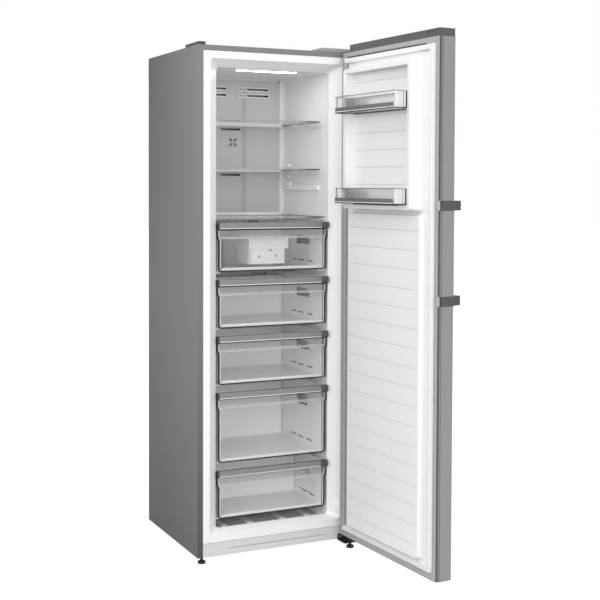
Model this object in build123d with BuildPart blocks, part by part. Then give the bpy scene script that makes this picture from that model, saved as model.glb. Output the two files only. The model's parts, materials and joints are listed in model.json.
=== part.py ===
from build123d import *
import os
from math import cos, radians, sin

# An upright freezer that stands with its door open. Sizes are in millimetres. The cabinet is laid out
# from its front lower left corner: x runs right, y runs back from the front flange and z runs up from
# the lower edge of the side walls. The closed door uses the same x, y and z, and DOOR swings it open.

# ---- Steel wrap ----
CABINET_WIDTH = 595.0
CABINET_HEIGHT = 1758.0
CABINET_DEPTH = 525.0
FOOT_HEIGHT = 24.0
SHEET = 1.2
BEND_RADIUS = 3.0
FLANGE_WIDTH = 19.5
FIT = 0.3
FOAM_EASE = 2.3

# ---- White liner ----
LINER = 2.0
RIM_WIDTH = 25.0
RIM_TUCK = 6.0
SIDE_WALL = 80.0
TOP_WALL = 71.0
REAR_WALL = 60.0
FLOOR_LEVEL = 72.0
RIM_FOOT = 75.0
SILL_LEVEL = 87.0
FUNNEL_DEPTH = 37.0
OPENING_RADIUS = 12.0
REAR_RADIUS = 5.0
FLOOR_RIB_INSETS = (54.0, 154.0)
FLOOR_RIB_WIDTH = 21.0
FLOOR_RIB_HEIGHT = 3.0
FLOOR_RIB_START = 85.0
WALL_MARK_DEPTH = 226.0
WALL_MARK_HEIGHT = 23.0
WALL_MARK_WIDTH = 5.0
WALL_MARK_PROUD = 1.0

# ---- Machine compartment ----
MACHINE_DEPTH = 188.0
MACHINE_HEIGHT = 240.0
MACHINE_WALL = 50.0
PAN_LEVEL = 12.0
COVER_THICKNESS = 2.0
BASE_THICKNESS = 2.0
BASE_LIP = 10.0
LOUVRE_WIDTH = 40.0
LOUVRE_HEIGHT = 4.0
LOUVRE_SPACING = 60.0
LOUVRE_PITCH = 12.0
LOUVRE_COLUMNS = 3
LOUVRE_ROWS = 8

# ---- Kick plate and top trims ----
KICK_HEIGHT = 48.0
KICK_DEPTH = 14.0
KICK_WALL = 2.0
KICK_CLEARANCE = 0.5
KICK_GROOVE_INSETS = (117.0, 108.0)
KICK_GROOVE_LEVEL = 18.0
KICK_GROOVE_HEIGHT = 9.0
KICK_GROOVE_DEPTH = 1.0
KICK_BOSS_X = 54.0
KICK_BOSS_LEVEL = 15.0
KICK_BOSS_RADIUS = 5.5
KICK_BOSS_PROUD = 1.5
CORNER_CAP_WIDTH = 28.0
CORNER_CAP_LENGTH = 128.0
CORNER_CAP_HEIGHT = 10.0
HINGE_COVER_WIDTH = 124.0
HINGE_COVER_LENGTH = 112.0
HINGE_COVER_HEIGHT = 13.0
COVER_WALL = 2.0
TRIM_EASE = 2.0

# ---- Hinges, feet and rollers ----
HINGE_INSET = 24.0
HINGE_FORWARD = 40.0
DOOR_ANGLE = 93.0
PIN_RADIUS = 5.0
PIN_LENGTH = 14.0
PIN_PLAY = 0.05
HINGE_PLATE = 3.0
HINGE_ARM_WIDTH = 34.0
TOP_PLATE_REACH = 90.0
TOP_PLATE_START = 8.0
TOP_PLATE_LEFT = 71.0
TOP_SCREW_FRONT = 24.0
LOWER_PLATE_LEFT = 31.0
LOWER_PLATE_RIGHT = 19.0
LOWER_PLATE_FRONT = 16.0
LOWER_PLATE_BACK = 60.0
LOWER_PLATE_RISE = 19.0
COLLAR_RADIUS = 9.0
FOOT_RADIUS = 13.5
FOOT_DISC = 9.0
STEM_RADIUS = 5.0
LEFT_FOOT = (22.0, 20.0)
ROLLER_RADIUS = 11.5
ROLLER_WIDTH = 16.0
ROLLER_INSET = 45.0
ROLLER_SETBACK = 35.0
AXLE_RADIUS = 3.0
AXLE_PLAY = 0.05
EAR_THICKNESS = 2.0
EAR_LENGTH = 20.0
EAR_DROP = 18.0
SCREW_HEAD_RADIUS = 4.5
SCREW_HEAD_HEIGHT = 2.0
SCREW_RADIUS = 2.0
SCREW_PLAY = 0.1

# ---- Drawers, counted from the top, and the shelves above them ----
DRAWER_HEIGHTS = (171.0, 171.0, 171.0, 247.0, 171.0)
DRAWER_SPACING = 26.0
DRAWER_FLOOR_GAP = 44.0
DRAWER_SIDE_GAP = 4.0
DRAWER_FRONT = 38.0
DRAWER_BACK_GAP = 12.0
LAST_DRAWER_BACK_GAP = 7.0
DRAWER_PANEL = 3.0
PANEL_NECK = 6.0
PANEL_SHOULDER = 40.0
PANEL_CORNER = 12.0
TUB_SIDE_GAP = 12.0
TUB_WALL = 2.0
TUB_CORNER = 6.0
TUB_DROP = 4.0
TUB_SLOT_Y = (157.0, 269.0)
TUB_SLOT_DROPS = ((72.0, 87.0), (59.0, 67.0))
TUB_DASH_START = 95.0
TUB_DASH_LENGTH = 43.0
TUB_DASH_PITCH = 65.0
TUB_DASH_COUNTS = (3, 3, 3, 3, 2)
TUB_DASH_LIFT = 20.0
TUB_DASH_HEIGHT = 4.0
GRIP_HEIGHT = 22.0
GRIP_DEPTH = 18.0
GRIP_WALL = 4.0
CAP_WIDTH = 12.0
RUNNER_WIDTH = 28.0
RUNNER_HEIGHT = 8.0
RUNNER_FRONT = 50.0
SHELF_GAP = 18.0
SHELF_COUNT = 3
GLASS = 4.0
SHELF_FRONTS = (92.0, 92.0, 56.0)
SHELF_BACK_GAP = 5.0
LEDGE_WIDTH = 10.0
LEDGE_HEIGHT = 18.0
LEDGE_FRONT = (48.0, 226.0)
LEDGE_REAR_LENGTH = 100.0
LEDGE_REAR_GAP = 10.0
REAR_TRIM_DEPTH = 14.0
REAR_TRIM_WALL = 2.0
REAR_TRIM_DROP = 10.0
SIDE_RAIL = (119.0, 425.0)
SIDE_RAIL_PROUD = 8.0
SIDE_RAIL_HEIGHT = 16.0
SIDE_RAIL_DROP = 62.0

# ---- Rear air duct and cooling ----
DUCT_SIDE_GAP = 22.0
DUCT_FRONT_GAP = 55.0
DUCT_TOP_GAP = 6.0
DUCT_FOOT_GAP = 20.0
DUCT_RADIUS = 15.0
DUCT_WALL = 2.0
TOP_VENT_INSETS = (48.0, 168.0)
TOP_VENT_DROPS = (40.0, 64.0)
TOP_VENT_HEIGHT = 8.0
TOP_VENT_RECESS = 1.2
TOP_VENT_MOUTH = 18.0
SHELF_VENT_WIDTH = 103.0
SHELF_VENT_HEIGHT = 8.0
SHELF_VENT_DROP = 21.0
PETAL_DROP = 70.0
PETAL_RING = 13.0
PETAL_LENGTH = 17.0
PETAL_WIDTH = 9.0
PETAL_ANGLE = 45.0
PETALS = 4
DOT_PITCH = 15.0
DOT_RADIUS = 4.5
DOT_OFFSET = 104.5
DOT_DROP = 39.0
DOTS = 5
SLANTS = 3
SLANT_DROP = 26.0
SLANT_OFFSET = 84.0
SLANT_LENGTH = 12.0
SLANT_WIDTH = 7.0
SLANT_ANGLE = 35.0
LAMP_WIDTH = 249.0
LAMP_DEPTH = 35.0
LAMP_FRONT = 80.0
LAMP_THICKNESS = 6.0
COIL_LOW = 420.0
COIL_FAN_GAP = 25.0
COIL_WIDTH = 360.0
COIL_GAP = 5.0
COIL_FINS = 18
COIL_COLUMNS = 2
COIL_ROWS = 6
COIL_TUBE_RADIUS = 4.0
FIN = 1.0
HEATER_RADIUS = 6.0
HEATER_INSET = 15.0
FAN_HEIGHT = 1000.0
SHROUD_WIDTH = 150.0
SHROUD_DEPTH = 38.0
SHROUD_BORE = 58.0
FAN_TIP = 54.0
FAN_HUB = 14.0
FAN_DEPTH = 17.0
FAN_BLADES = 5
FAN_GAP = 2.0
BLADE_CHORD = 24.0
BLADE_PITCH = 35.0
MOTOR_RADIUS = 16.0
MOTOR_DEPTH = 10.0
SHAFT_RADIUS = 2.0
SHAFT_PLAY = 0.05
STRUT = 5.0

# ---- Machine compartment contents ----
COMPRESSOR_SHARE = 0.27
COMPRESSOR_RADIUS = 68.0
COMPRESSOR_HEIGHT = 156.0
COMPRESSOR_EASE = 30.0
COMPRESSOR_PLATE = (200.0, 110.0, 3.0)
MOUNT_RADIUS = 12.0
MOUNT_HEIGHT = 12.0
MOUNT_PITCH = (160.0, 76.0)
TRAY_SIZE = (170.0, 130.0, 24.0)
CONDENSER_SHARE = 0.64
CONDENSER_SIZE = (100.0, 150.0, 130.0)
CONDENSER_FINS = 12
CONDENSER_COLUMNS = 3
CONDENSER_ROWS = 4
CONDENSER_SHROUD = 3.0
CONDENSER_SHROUD_GAP = 27.0
CONTROL_BOX_INSET = 58.0
CONTROL_BOX_SIZE = (70.0, 60.0, 98.0)
INLET_INSET = 75.0
INLET_LEVEL = 200.0
INLET_FLANGE = (50.0, 32.0)
INLET_BODY = (30.0, 22.0)
INLET_SOCKET = (24.0, 16.0)
INLET_PROUD = 3.0
INLET_DEPTH = 18.0
SOCKET_DEPTH = 15.0
CONTACT_PITCH = 7.0
CONTACT_WIDTH = 2.0
CONTACT_HEIGHT = 4.0
CONTACT_LENGTH = 12.0

# ---- Ice parts in the top drawer ----
ICE_BIN_X = (119.0, 383.0)
ICE_BIN_Y = (60.0, 240.0)
ICE_BIN_HEIGHT = 117.0
ICE_BIN_RADIUS = 10.0
ICE_LOWER_X = (217.0, 357.0)
ICE_LOWER_Y = (70.0, 170.0)
ICE_LOWER_LIFT = 20.0
ICE_LOWER_HEIGHT = 55.0
ICE_UPPER_X = (217.0, 370.0)
ICE_UPPER_Y = (66.0, 190.0)
ICE_UPPER_HEIGHT = 47.0
ICE_WALL = 2.0
ICE_SKID = 8.0
ICE_HOLE_RADIUS = 4.0
ICE_HOLES = ((41.0, 27.0), (84.0, 48.0), (106.0, 28.0))

# ---- Door ----
DOOR_GAP = 12.0
DOOR_THICKNESS = 60.0
DOOR_FOOT = 23.0
DOOR_TOP_GAP = 3.0
CAP_PLATE_FOOT = 2.0
CAP_PLATE_TOP = 4.0
CAP_PLUG = 14.0
CAP_RISE = 26.0
CAP_END = 50.0
CAP_RECESS_X = (12.0, 68.0)
CAP_RECESS_Z = (6.0, 21.0)
DOOR_EDGE = 4.0
REBATE = 5.5
LIP = 2.5
GROOVE = 5.0
GROOVE_DEPTH = 2.5
DOOR_FRAME = 26.7
GASKET_INSET = 25.0
GASKET_WIDTH = 20.0
GASKET_THICKNESS = 11.7
GASKET_RADIUS = 8.0
UPPER_FORM_INSET = 85.0
UPPER_FORM_TOP_GAP = 53.0
UPPER_FORM_GAP = 29.0
UPPER_FORM_DEPTH = 51.0
FORM_DRAFT = 7.0
FORM_TOP_DRAFT = 19.0
FORM_FOOT_DRAFT = 5.0
RECESS_INSET = 107.0
RECESS_TOP_GAP = 86.0
RECESS_FOOT_GAP = 18.0
RECESS_LEVEL = 17.0
UPPER_GROOVES = 7
UPPER_GROOVE_LOW = 70.0
GROOVE_PITCH = 58.3
FORM_GROOVE_WIDTH = 3.0
FORM_GROOVE_DEPTH = 1.0
FORM_GROOVE_MARGIN = 10.0
PAD_INSET = 70.0
PAD_FOOT = 72.0
PAD_GAP = 6.0
PAD_DEPTH = 20.0
PAD_DRAFT = 8.0
PAD_GROOVES = 17
PAD_GROOVE_PITCH = 63.4
PAD_GROOVE_TOP = 55.0
BIN_DEPTH = 81.0
BIN_WALL = 2.5
BIN_RADIUS = 10.0
UPPER_BIN_HEIGHT = 56.0
UPPER_BIN_LIFT = 15.0
LOWER_BIN_HEIGHT = 52.0
LOWER_BIN_LIFT = 52.0
LUG_WIDTH = 6.0
LUG_HEIGHT = 5.0
LUG_DEPTH = 34.0
DIVIDER_INSET = 179.0
DIVIDER_WIDTH = 46.0
DIVIDER_SHEET = 2.0
DIVIDER_DROP = 4.0
SADDLE_DROP = 8.0
CLIP = 2.5
CLIP_REACH = 8.0
CLIP_LIP = 1.5
ARM_START = 12.0
ARM_END = 72.0
ARM_STANDOFF = 34.0
GRIP_BAR_X = (46.0, 70.0)
GRIP_BAR_THICKNESS = 10.0
HANDLE_LOW = 901.0
HANDLE_LENGTH = 334.0
BRACKET_HEIGHT = 31.0

# ---- Places that follow from the sizes ----
LEFT_WALL = SIDE_WALL
RIGHT_WALL = CABINET_WIDTH - SIDE_WALL
CENTRE = CABINET_WIDTH / 2
CEILING = CABINET_HEIGHT - TOP_WALL
LINER_BACK = CABINET_DEPTH - REAR_WALL
MACHINE_FRONT = CABINET_DEPTH - MACHINE_DEPTH
MACHINE_ROOF = MACHINE_HEIGHT + SHEET
STEP_FRONT = MACHINE_FRONT - MACHINE_WALL
STEP_TOP = MACHINE_HEIGHT + MACHINE_WALL
DUCT_FRONT = LINER_BACK - DUCT_FRONT_GAP
LEDGE_REAR_END = DUCT_FRONT - LEDGE_REAR_GAP
LEDGE_REAR = (LEDGE_REAR_END - LEDGE_REAR_LENGTH, LEDGE_REAR_END)
COIL_TOP = FAN_HEIGHT - SHROUD_WIDTH / 2 - COIL_FAN_GAP
COMPRESSOR_X = CABINET_WIDTH * COMPRESSOR_SHARE
CONDENSER_X = CABINET_WIDTH * CONDENSER_SHARE
CONTROL_BOX_X = CABINET_WIDTH - CONTROL_BOX_INSET
INLET_X = CABINET_WIDTH - INLET_INSET
HINGE_X = CABINET_WIDTH - HINGE_INSET
HINGE_Y = -HINGE_FORWARD
DOOR_IN = -DOOR_GAP
DOOR_OUT = DOOR_IN - DOOR_THICKNESS
SKIN_FOOT = DOOR_FOOT + CAP_PLATE_FOOT
DOOR_TOP = CABINET_HEIGHT - DOOR_TOP_GAP
SKIN_TOP = DOOR_TOP - CAP_PLATE_TOP
ARM_FRONT = DOOR_OUT - ARM_STANDOFF


def drawer_bottoms():
    """The drawers' undersides, counted from the top drawer down."""
    low = FLOOR_LEVEL + DRAWER_FLOOR_GAP
    found = []
    for height in reversed(DRAWER_HEIGHTS):
        found.insert(0, low)
        low += height + DRAWER_SPACING
    return found


DRAWER_BOTTOMS = drawer_bottoms()
DRAWER_TOPS = [low + height for low, height in zip(DRAWER_BOTTOMS, DRAWER_HEIGHTS)]
SHELF_LOW = DRAWER_TOPS[0] + SHELF_GAP
SHELF_PITCH = (CEILING - SHELF_LOW) / SHELF_COUNT
SHELF_TOPS = [SHELF_LOW + SHELF_PITCH * (SHELF_COUNT - 1 - index) for index in range(SHELF_COUNT)]
UPPER_BIN_LOW = SHELF_TOPS[0] + UPPER_BIN_LIFT
LOWER_BIN_LOW = SHELF_LOW + LOWER_BIN_LIFT


def swung(x, y):
    """Where a point of the closed door lies when the door stands open."""
    angle = radians(DOOR_ANGLE)
    right, back = x - HINGE_X, y - HINGE_Y
    return (
        HINGE_X + right * cos(angle) - back * sin(angle),
        HINGE_Y + right * sin(angle) + back * cos(angle),
    )


# The origin lies on the floor, under the middle of the freezer with its door open.
MIDDLE_X = swung(ARM_START, ARM_FRONT)[0] / 2
MIDDLE_Y = (CABINET_DEPTH + INLET_PROUD + swung(-CLIP, DOOR_IN + CLIP_LIP)[1]) / 2
CABINET = Plane(origin=(-MIDDLE_X, -MIDDLE_Y, FOOT_HEIGHT))
HINGE_LINE = CABINET.from_local_coords((HINGE_X, HINGE_Y, 0))
DOOR = Plane(
    Plane(origin=HINGE_LINE).location
    * Location((0, 0, 0), (0, 0, DOOR_ANGLE))
    * Location((-HINGE_X, -HINGE_Y, 0))
)


def level(frame, z):
    """The frame's level plane at height z."""
    return frame.offset(z)


def upright(frame, y):
    """The frame's upright plane at depth y, seen from the front; it faces forwards."""
    return Plane(origin=frame.from_local_coords((0, y, 0)), x_dir=frame.x_dir, z_dir=-frame.y_dir)


def across(frame, x):
    """The frame's side plane at x, with its own x running back; it faces right."""
    return Plane(origin=frame.from_local_coords((x, 0, 0)), x_dir=frame.y_dir, z_dir=frame.x_dir)


def middle(pair):
    """The middle of a (low, high) pair."""
    return (pair[0] + pair[1]) / 2


def around(centre, size):
    """The (low, high) pair of a size about its centre."""
    return (centre - size / 2, centre + size / 2)


def drawn_in(pair, inset):
    """A (low, high) pair made narrower by inset at both ends."""
    return (pair[0] + inset, pair[1] - inset)


def block(x, y, z, mode=Mode.ADD):
    """A box between the (low, high) pairs x, y and z."""
    with Locations((middle(x), middle(y), middle(z))):
        Box(x[1] - x[0], y[1] - y[0], z[1] - z[0], mode=mode)


def rod(radius, x, y, z, mode=Mode.ADD):
    """A round bar that runs along whichever of x, y and z is a (low, high) pair."""
    turns = ((0, 90, 0), (90, 0, 0), (0, 0, 0))
    place = [x, y, z]
    along = [isinstance(value, tuple) for value in place].index(True)
    length = place[along][1] - place[along][0]
    place[along] = middle(place[along])
    with Locations(tuple(place)):
        Cylinder(radius, length, rotation=turns[along], mode=mode)


def outline(plane, x, y, radius):
    """A rounded rectangle on a plane, between the pairs x and y of that plane."""
    with BuildSketch(plane) as made:
        with Locations((middle(x), middle(y))):
            RectangleRounded(x[1] - x[0], y[1] - y[0], radius)
    return made.sketch


def trough(plane, x, y, radius):
    """A rectangle on a plane with its two lower corners rounded."""
    with BuildSketch(plane) as made:
        with Locations((middle(x), middle(y))):
            Rectangle(x[1] - x[0], y[1] - y[0])
        fillet(made.vertices().group_by(Axis.Y)[0], radius)
    return made.sketch


def save(made, name):
    """Labels a finished piece and writes its file."""
    made.part.label = name
    export_step(made.part, f"parts/{name}.step")


def save_together(pieces, name):
    """Labels finished pieces that are joined edge to edge, not moulded in one, and writes their one file."""
    joined = Compound([solid for made in pieces for solid in made.part.solids()])
    joined.label = name
    export_step(joined, f"parts/{name}.step")


os.makedirs("parts", exist_ok=True)


# ---- Cabinet walls ----
def folded_case(inset):
    """The outside of the steel wrap drawn in by inset, with its front and top folds rounded."""
    with BuildPart() as case:
        block((inset, CABINET_WIDTH - inset), (inset, CABINET_DEPTH), (0, CABINET_HEIGHT - inset))
        edges = case.edges().filter_by(lambda edge: edge.center().Y < CABINET_DEPTH - SHEET)
        fillet(edges.filter_by(lambda edge: edge.center().Z > SHEET), BEND_RADIUS - inset)
    return case.part


with BuildPart(CABINET) as outer_shell:
    add(folded_case(0))
    add(folded_case(SHEET), mode=Mode.SUBTRACT)
    block(
        (FLANGE_WIDTH, CABINET_WIDTH - FLANGE_WIDTH),
        (0, SHEET),
        (0, CABINET_HEIGHT - FLANGE_WIDTH),
        mode=Mode.SUBTRACT,
    )
save(outer_shell, "outer_shell")


def cold_space(grow):
    """The space inside the liner, grown on every side by grow."""
    rim = FLANGE_WIDTH + RIM_WIDTH - grow
    radius = OPENING_RADIUS + grow
    sides = (LEFT_WALL - grow, RIGHT_WALL + grow)
    with BuildPart() as space:
        section = outline(
            upright(Plane.XY, FUNNEL_DEPTH - grow), sides, (FLOOR_LEVEL - grow, CEILING + grow), radius
        )
        extrude(section, amount=FUNNEL_DEPTH - grow - LINER_BACK - grow)
        fillet(space.faces().sort_by(Axis.Y)[-1].edges(), REAR_RADIUS)
        front = outline(
            upright(Plane.XY, SHEET),
            (rim, CABINET_WIDTH - rim),
            (RIM_FOOT - grow, CABINET_HEIGHT - rim),
            radius,
        )
        back = outline(
            upright(Plane.XY, FUNNEL_DEPTH), sides, (SILL_LEVEL - grow, CEILING + grow), radius
        )
        loft([front, back])
        block(
            (0, CABINET_WIDTH),
            (STEP_FRONT + grow, CABINET_DEPTH),
            (0, STEP_TOP - grow),
            mode=Mode.SUBTRACT,
        )
    return space.part


def on_both_walls(width, y, z):
    """Matching blocks that stand out from the liner's two side walls."""
    block((LEFT_WALL, LEFT_WALL + width), y, z)
    block((RIGHT_WALL - width, RIGHT_WALL), y, z)


DRAWER_BACKS = [LINER_BACK - DUCT_FRONT_GAP - DRAWER_BACK_GAP] * (len(DRAWER_HEIGHTS) - 1)
DRAWER_BACKS.append(STEP_FRONT - LAST_DRAWER_BACK_GAP)

with BuildPart(CABINET) as inner_liner:
    block(
        (RIM_TUCK, CABINET_WIDTH - RIM_TUCK),
        (SHEET, SHEET + LINER),
        (KICK_HEIGHT, CABINET_HEIGHT - RIM_TUCK),
    )
    add(cold_space(LINER))
    add(cold_space(0), mode=Mode.SUBTRACT)
    for inset in FLOOR_RIB_INSETS:
        for side in (LEFT_WALL + inset, RIGHT_WALL - inset):
            block(
                around(side, FLOOR_RIB_WIDTH),
                (FLOOR_RIB_START, STEP_FRONT),
                (FLOOR_LEVEL, FLOOR_LEVEL + FLOOR_RIB_HEIGHT),
            )
    for top in SHELF_TOPS[:2]:
        mark_top = top - LEDGE_HEIGHT - GLASS
        on_both_walls(
            WALL_MARK_PROUD,
            around(WALL_MARK_DEPTH, WALL_MARK_WIDTH),
            (mark_top - WALL_MARK_HEIGHT, mark_top),
        )
save(inner_liner, "inner_liner")

with BuildPart(CABINET) as wall_rails:
    for top in SHELF_TOPS:
        under = top - GLASS
        for reach in (LEDGE_FRONT, LEDGE_REAR):
            on_both_walls(LEDGE_WIDTH, reach, (under - LEDGE_HEIGHT, under))
    for low, back in zip(DRAWER_BOTTOMS, DRAWER_BACKS):
        on_both_walls(RUNNER_WIDTH, (RUNNER_FRONT, back), (low - RUNNER_HEIGHT, low - FIT))
    rail_top = SHELF_TOPS[1] - SIDE_RAIL_DROP
    on_both_walls(SIDE_RAIL_PROUD, SIDE_RAIL, (rail_top - SIDE_RAIL_HEIGHT, rail_top))
save(wall_rails, "wall_rails")

with BuildPart(CABINET) as bottom_panel:
    walls = (SHEET, CABINET_WIDTH - SHEET)
    lip_back = KICK_DEPTH + SHEET
    block(walls, (KICK_DEPTH, MACHINE_FRONT), (PAN_LEVEL, PAN_LEVEL + SHEET))
    block(walls, (KICK_DEPTH, lip_back), (PAN_LEVEL, KICK_HEIGHT))
    block(
        (RIM_TUCK, CABINET_WIDTH - RIM_TUCK), (SHEET, lip_back), (KICK_HEIGHT - SHEET, KICK_HEIGHT)
    )
    block(walls, (MACHINE_FRONT - SHEET, MACHINE_FRONT), (PAN_LEVEL, MACHINE_ROOF))
    block(walls, (MACHINE_FRONT - SHEET, CABINET_DEPTH - SHEET), (MACHINE_HEIGHT, MACHINE_ROOF))
save(bottom_panel, "bottom_panel")

with BuildPart(CABINET) as back_panel:
    block(
        (SHEET, CABINET_WIDTH - SHEET),
        (CABINET_DEPTH - SHEET, CABINET_DEPTH),
        (MACHINE_ROOF, CABINET_HEIGHT - SHEET),
    )
    fillet(back_panel.edges().filter_by(Axis.Y).group_by(Axis.Z)[-1], FOAM_EASE)
save(back_panel, "back_panel")

with BuildPart(CABINET) as cabinet_foam:
    block(
        (SHEET, CABINET_WIDTH - SHEET),
        (SHEET + LINER, CABINET_DEPTH - SHEET),
        (PAN_LEVEL + SHEET, CABINET_HEIGHT - SHEET),
    )
    fillet(cabinet_foam.edges().filter_by(Axis.Y).group_by(Axis.Z)[-1], FOAM_EASE)
    block((0, CABINET_WIDTH), (0, KICK_DEPTH + SHEET), (0, KICK_HEIGHT), mode=Mode.SUBTRACT)
    block(
        (0, CABINET_WIDTH), (MACHINE_FRONT - SHEET, CABINET_DEPTH), (0, MACHINE_ROOF), mode=Mode.SUBTRACT
    )
    add(cold_space(LINER), mode=Mode.SUBTRACT)
save(cabinet_foam, "cabinet_foam")

# ---- Kick plate and top trims ----
with BuildPart(CABINET) as kick_plate:
    kick_x = (FLANGE_WIDTH + FIT, CABINET_WIDTH - FLANGE_WIDTH - FIT)
    kick_z = (KICK_CLEARANCE, KICK_HEIGHT - SHEET - FIT)
    kick_back = KICK_DEPTH - FIT
    block(kick_x, (0, kick_back), kick_z)
    block(
        drawn_in(kick_x, KICK_WALL),
        (KICK_WALL, kick_back),
        drawn_in(kick_z, KICK_WALL),
        mode=Mode.SUBTRACT,
    )
    groove = outline(
        upright(CABINET, KICK_GROOVE_DEPTH),
        (KICK_GROOVE_INSETS[0], CABINET_WIDTH - KICK_GROOVE_INSETS[1]),
        around(KICK_GROOVE_LEVEL, KICK_GROOVE_HEIGHT),
        KICK_GROOVE_HEIGHT / 2 - FIT,
    )
    extrude(groove, amount=KICK_GROOVE_DEPTH, mode=Mode.SUBTRACT)
    rod(KICK_BOSS_RADIUS, KICK_BOSS_X, (-KICK_BOSS_PROUD, 0), KICK_BOSS_LEVEL)
save(kick_plate, "kick_plate")

with BuildPart(CABINET) as top_corner_cap:
    block(
        (SHEET, CORNER_CAP_WIDTH),
        (SHEET, CORNER_CAP_LENGTH),
        (CABINET_HEIGHT, CABINET_HEIGHT + CORNER_CAP_HEIGHT),
    )
    fillet(top_corner_cap.faces().sort_by(Axis.Z)[-1].edges(), TRIM_EASE)
save(top_corner_cap, "top_corner_cap")

ARM_SIDES = around(HINGE_X, HINGE_ARM_WIDTH)
PLATE_LEVELS = (CABINET_HEIGHT, CABINET_HEIGHT + HINGE_PLATE)
PLATE_LEFT = CABINET_WIDTH - HINGE_INSET - TOP_PLATE_LEFT
TOP_SCREWS = [
    (PLATE_LEFT + TOP_PLATE_START, TOP_SCREW_FRONT),
    (PLATE_LEFT + TOP_PLATE_START, TOP_PLATE_REACH - TOP_PLATE_START),
    (HINGE_X, TOP_PLATE_REACH - TOP_PLATE_START),
]

with BuildPart(CABINET) as top_hinge:
    block((PLATE_LEFT, ARM_SIDES[1]), (TOP_PLATE_START, TOP_PLATE_REACH), PLATE_LEVELS)
    block(ARM_SIDES, (HINGE_Y, TOP_PLATE_START), PLATE_LEVELS)
    rod(HINGE_ARM_WIDTH / 2, HINGE_X, HINGE_Y, PLATE_LEVELS)
    rod(PIN_RADIUS, HINGE_X, HINGE_Y, (CABINET_HEIGHT - PIN_LENGTH, CABINET_HEIGHT))
    for x, y in TOP_SCREWS:
        rod(SCREW_RADIUS + SCREW_PLAY, x, y, PLATE_LEVELS, mode=Mode.SUBTRACT)
save(top_hinge, "top_hinge")

with BuildPart(CABINET) as top_hinge_cover:
    cover_x = (CABINET_WIDTH - SHEET - HINGE_COVER_WIDTH, CABINET_WIDTH - SHEET)
    cover_y = (SHEET, HINGE_COVER_LENGTH)
    cover_top = CABINET_HEIGHT + HINGE_COVER_HEIGHT
    block(cover_x, cover_y, (CABINET_HEIGHT, cover_top))
    fillet(top_hinge_cover.faces().sort_by(Axis.Z)[-1].edges(), TRIM_EASE)
    block(
        drawn_in(cover_x, COVER_WALL),
        drawn_in(cover_y, COVER_WALL),
        (CABINET_HEIGHT, cover_top - COVER_WALL),
        mode=Mode.SUBTRACT,
    )
    block(
        drawn_in(ARM_SIDES, -FIT),
        (SHEET, TOP_PLATE_START),
        (CABINET_HEIGHT, CABINET_HEIGHT + HINGE_PLATE + FIT),
        mode=Mode.SUBTRACT,
    )
save(top_hinge_cover, "top_hinge_cover")

# ---- Lower hinge, feet, rollers and their base ----
LOWER_PLATE_X = (HINGE_X - LOWER_PLATE_LEFT, HINGE_X + LOWER_PLATE_RIGHT)
LOWER_SCREWS = [
    (x, LOWER_PLATE_RISE / 2) for x in drawn_in(LOWER_PLATE_X, LOWER_PLATE_RISE / 2)
]

with BuildPart(CABINET) as bottom_hinge:
    block(
        LOWER_PLATE_X, (HINGE_Y - LOWER_PLATE_FRONT, LOWER_PLATE_BACK), (-HINGE_PLATE, 0)
    )
    block(LOWER_PLATE_X, (-HINGE_PLATE, 0), (-HINGE_PLATE, LOWER_PLATE_RISE))
    front_corners = bottom_hinge.edges().filter_by(Axis.Z).group_by(Axis.Y)[0]
    fillet(front_corners, LOWER_PLATE_FRONT / 2)
    rod(COLLAR_RADIUS, HINGE_X, HINGE_Y, (0, DOOR_FOOT - FIT))
    rod(PIN_RADIUS, HINGE_X, HINGE_Y, (0, SKIN_FOOT + CAP_PLUG - HINGE_PLATE))
    for x, z in LOWER_SCREWS:
        rod(SCREW_RADIUS + SCREW_PLAY, x, (-HINGE_PLATE, 0), z, mode=Mode.SUBTRACT)
save(bottom_hinge, "bottom_hinge")

with BuildPart(CABINET) as front_feet:
    disc = (-FOOT_HEIGHT, FOOT_DISC - FOOT_HEIGHT)
    rod(FOOT_RADIUS, LEFT_FOOT[0], LEFT_FOOT[1], disc)
    rod(STEM_RADIUS, LEFT_FOOT[0], LEFT_FOOT[1], (disc[1], PAN_LEVEL))
    rod(FOOT_RADIUS, HINGE_X, HINGE_Y, disc)
    rod(STEM_RADIUS, HINGE_X, HINGE_Y, (disc[1], -HINGE_PLATE))
save(front_feet, "front_feet")

ROLLER_Y = CABINET_DEPTH - ROLLER_SETBACK
ROLLER_LEVEL = ROLLER_RADIUS - FOOT_HEIGHT
ROLLERS = {"left": ROLLER_INSET, "right": CABINET_WIDTH - ROLLER_INSET}
BASE_BACK = CABINET_DEPTH - COVER_THICKNESS - FIT

with BuildPart(CABINET) as compressor_base:
    base_y = (MACHINE_FRONT + FIT, BASE_BACK)
    base_x = (SHEET, CABINET_WIDTH - SHEET)
    block(base_x, base_y, (0, BASE_THICKNESS))
    for lip in ((base_y[0], base_y[0] + BASE_THICKNESS), (base_y[1] - BASE_THICKNESS, base_y[1])):
        block(base_x, lip, (0, BASE_LIP))
    for centre in ROLLERS.values():
        inner = around(centre, ROLLER_WIDTH + 2 * FIT)
        for ear in ((inner[0] - EAR_THICKNESS, inner[0]), (inner[1], inner[1] + EAR_THICKNESS)):
            block(ear, around(ROLLER_Y, EAR_LENGTH), (-EAR_DROP, 0))
        rod(AXLE_RADIUS, inner, ROLLER_Y, ROLLER_LEVEL)
save(compressor_base, "compressor_base")

for side, centre in ROLLERS.items():
    with BuildPart(CABINET) as rear_roller:
        width = around(centre, ROLLER_WIDTH)
        rod(ROLLER_RADIUS, width, ROLLER_Y, ROLLER_LEVEL)
        rod(AXLE_RADIUS + AXLE_PLAY, width, ROLLER_Y, ROLLER_LEVEL, mode=Mode.SUBTRACT)
    save(rear_roller, f"rear_roller_{side}")

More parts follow.
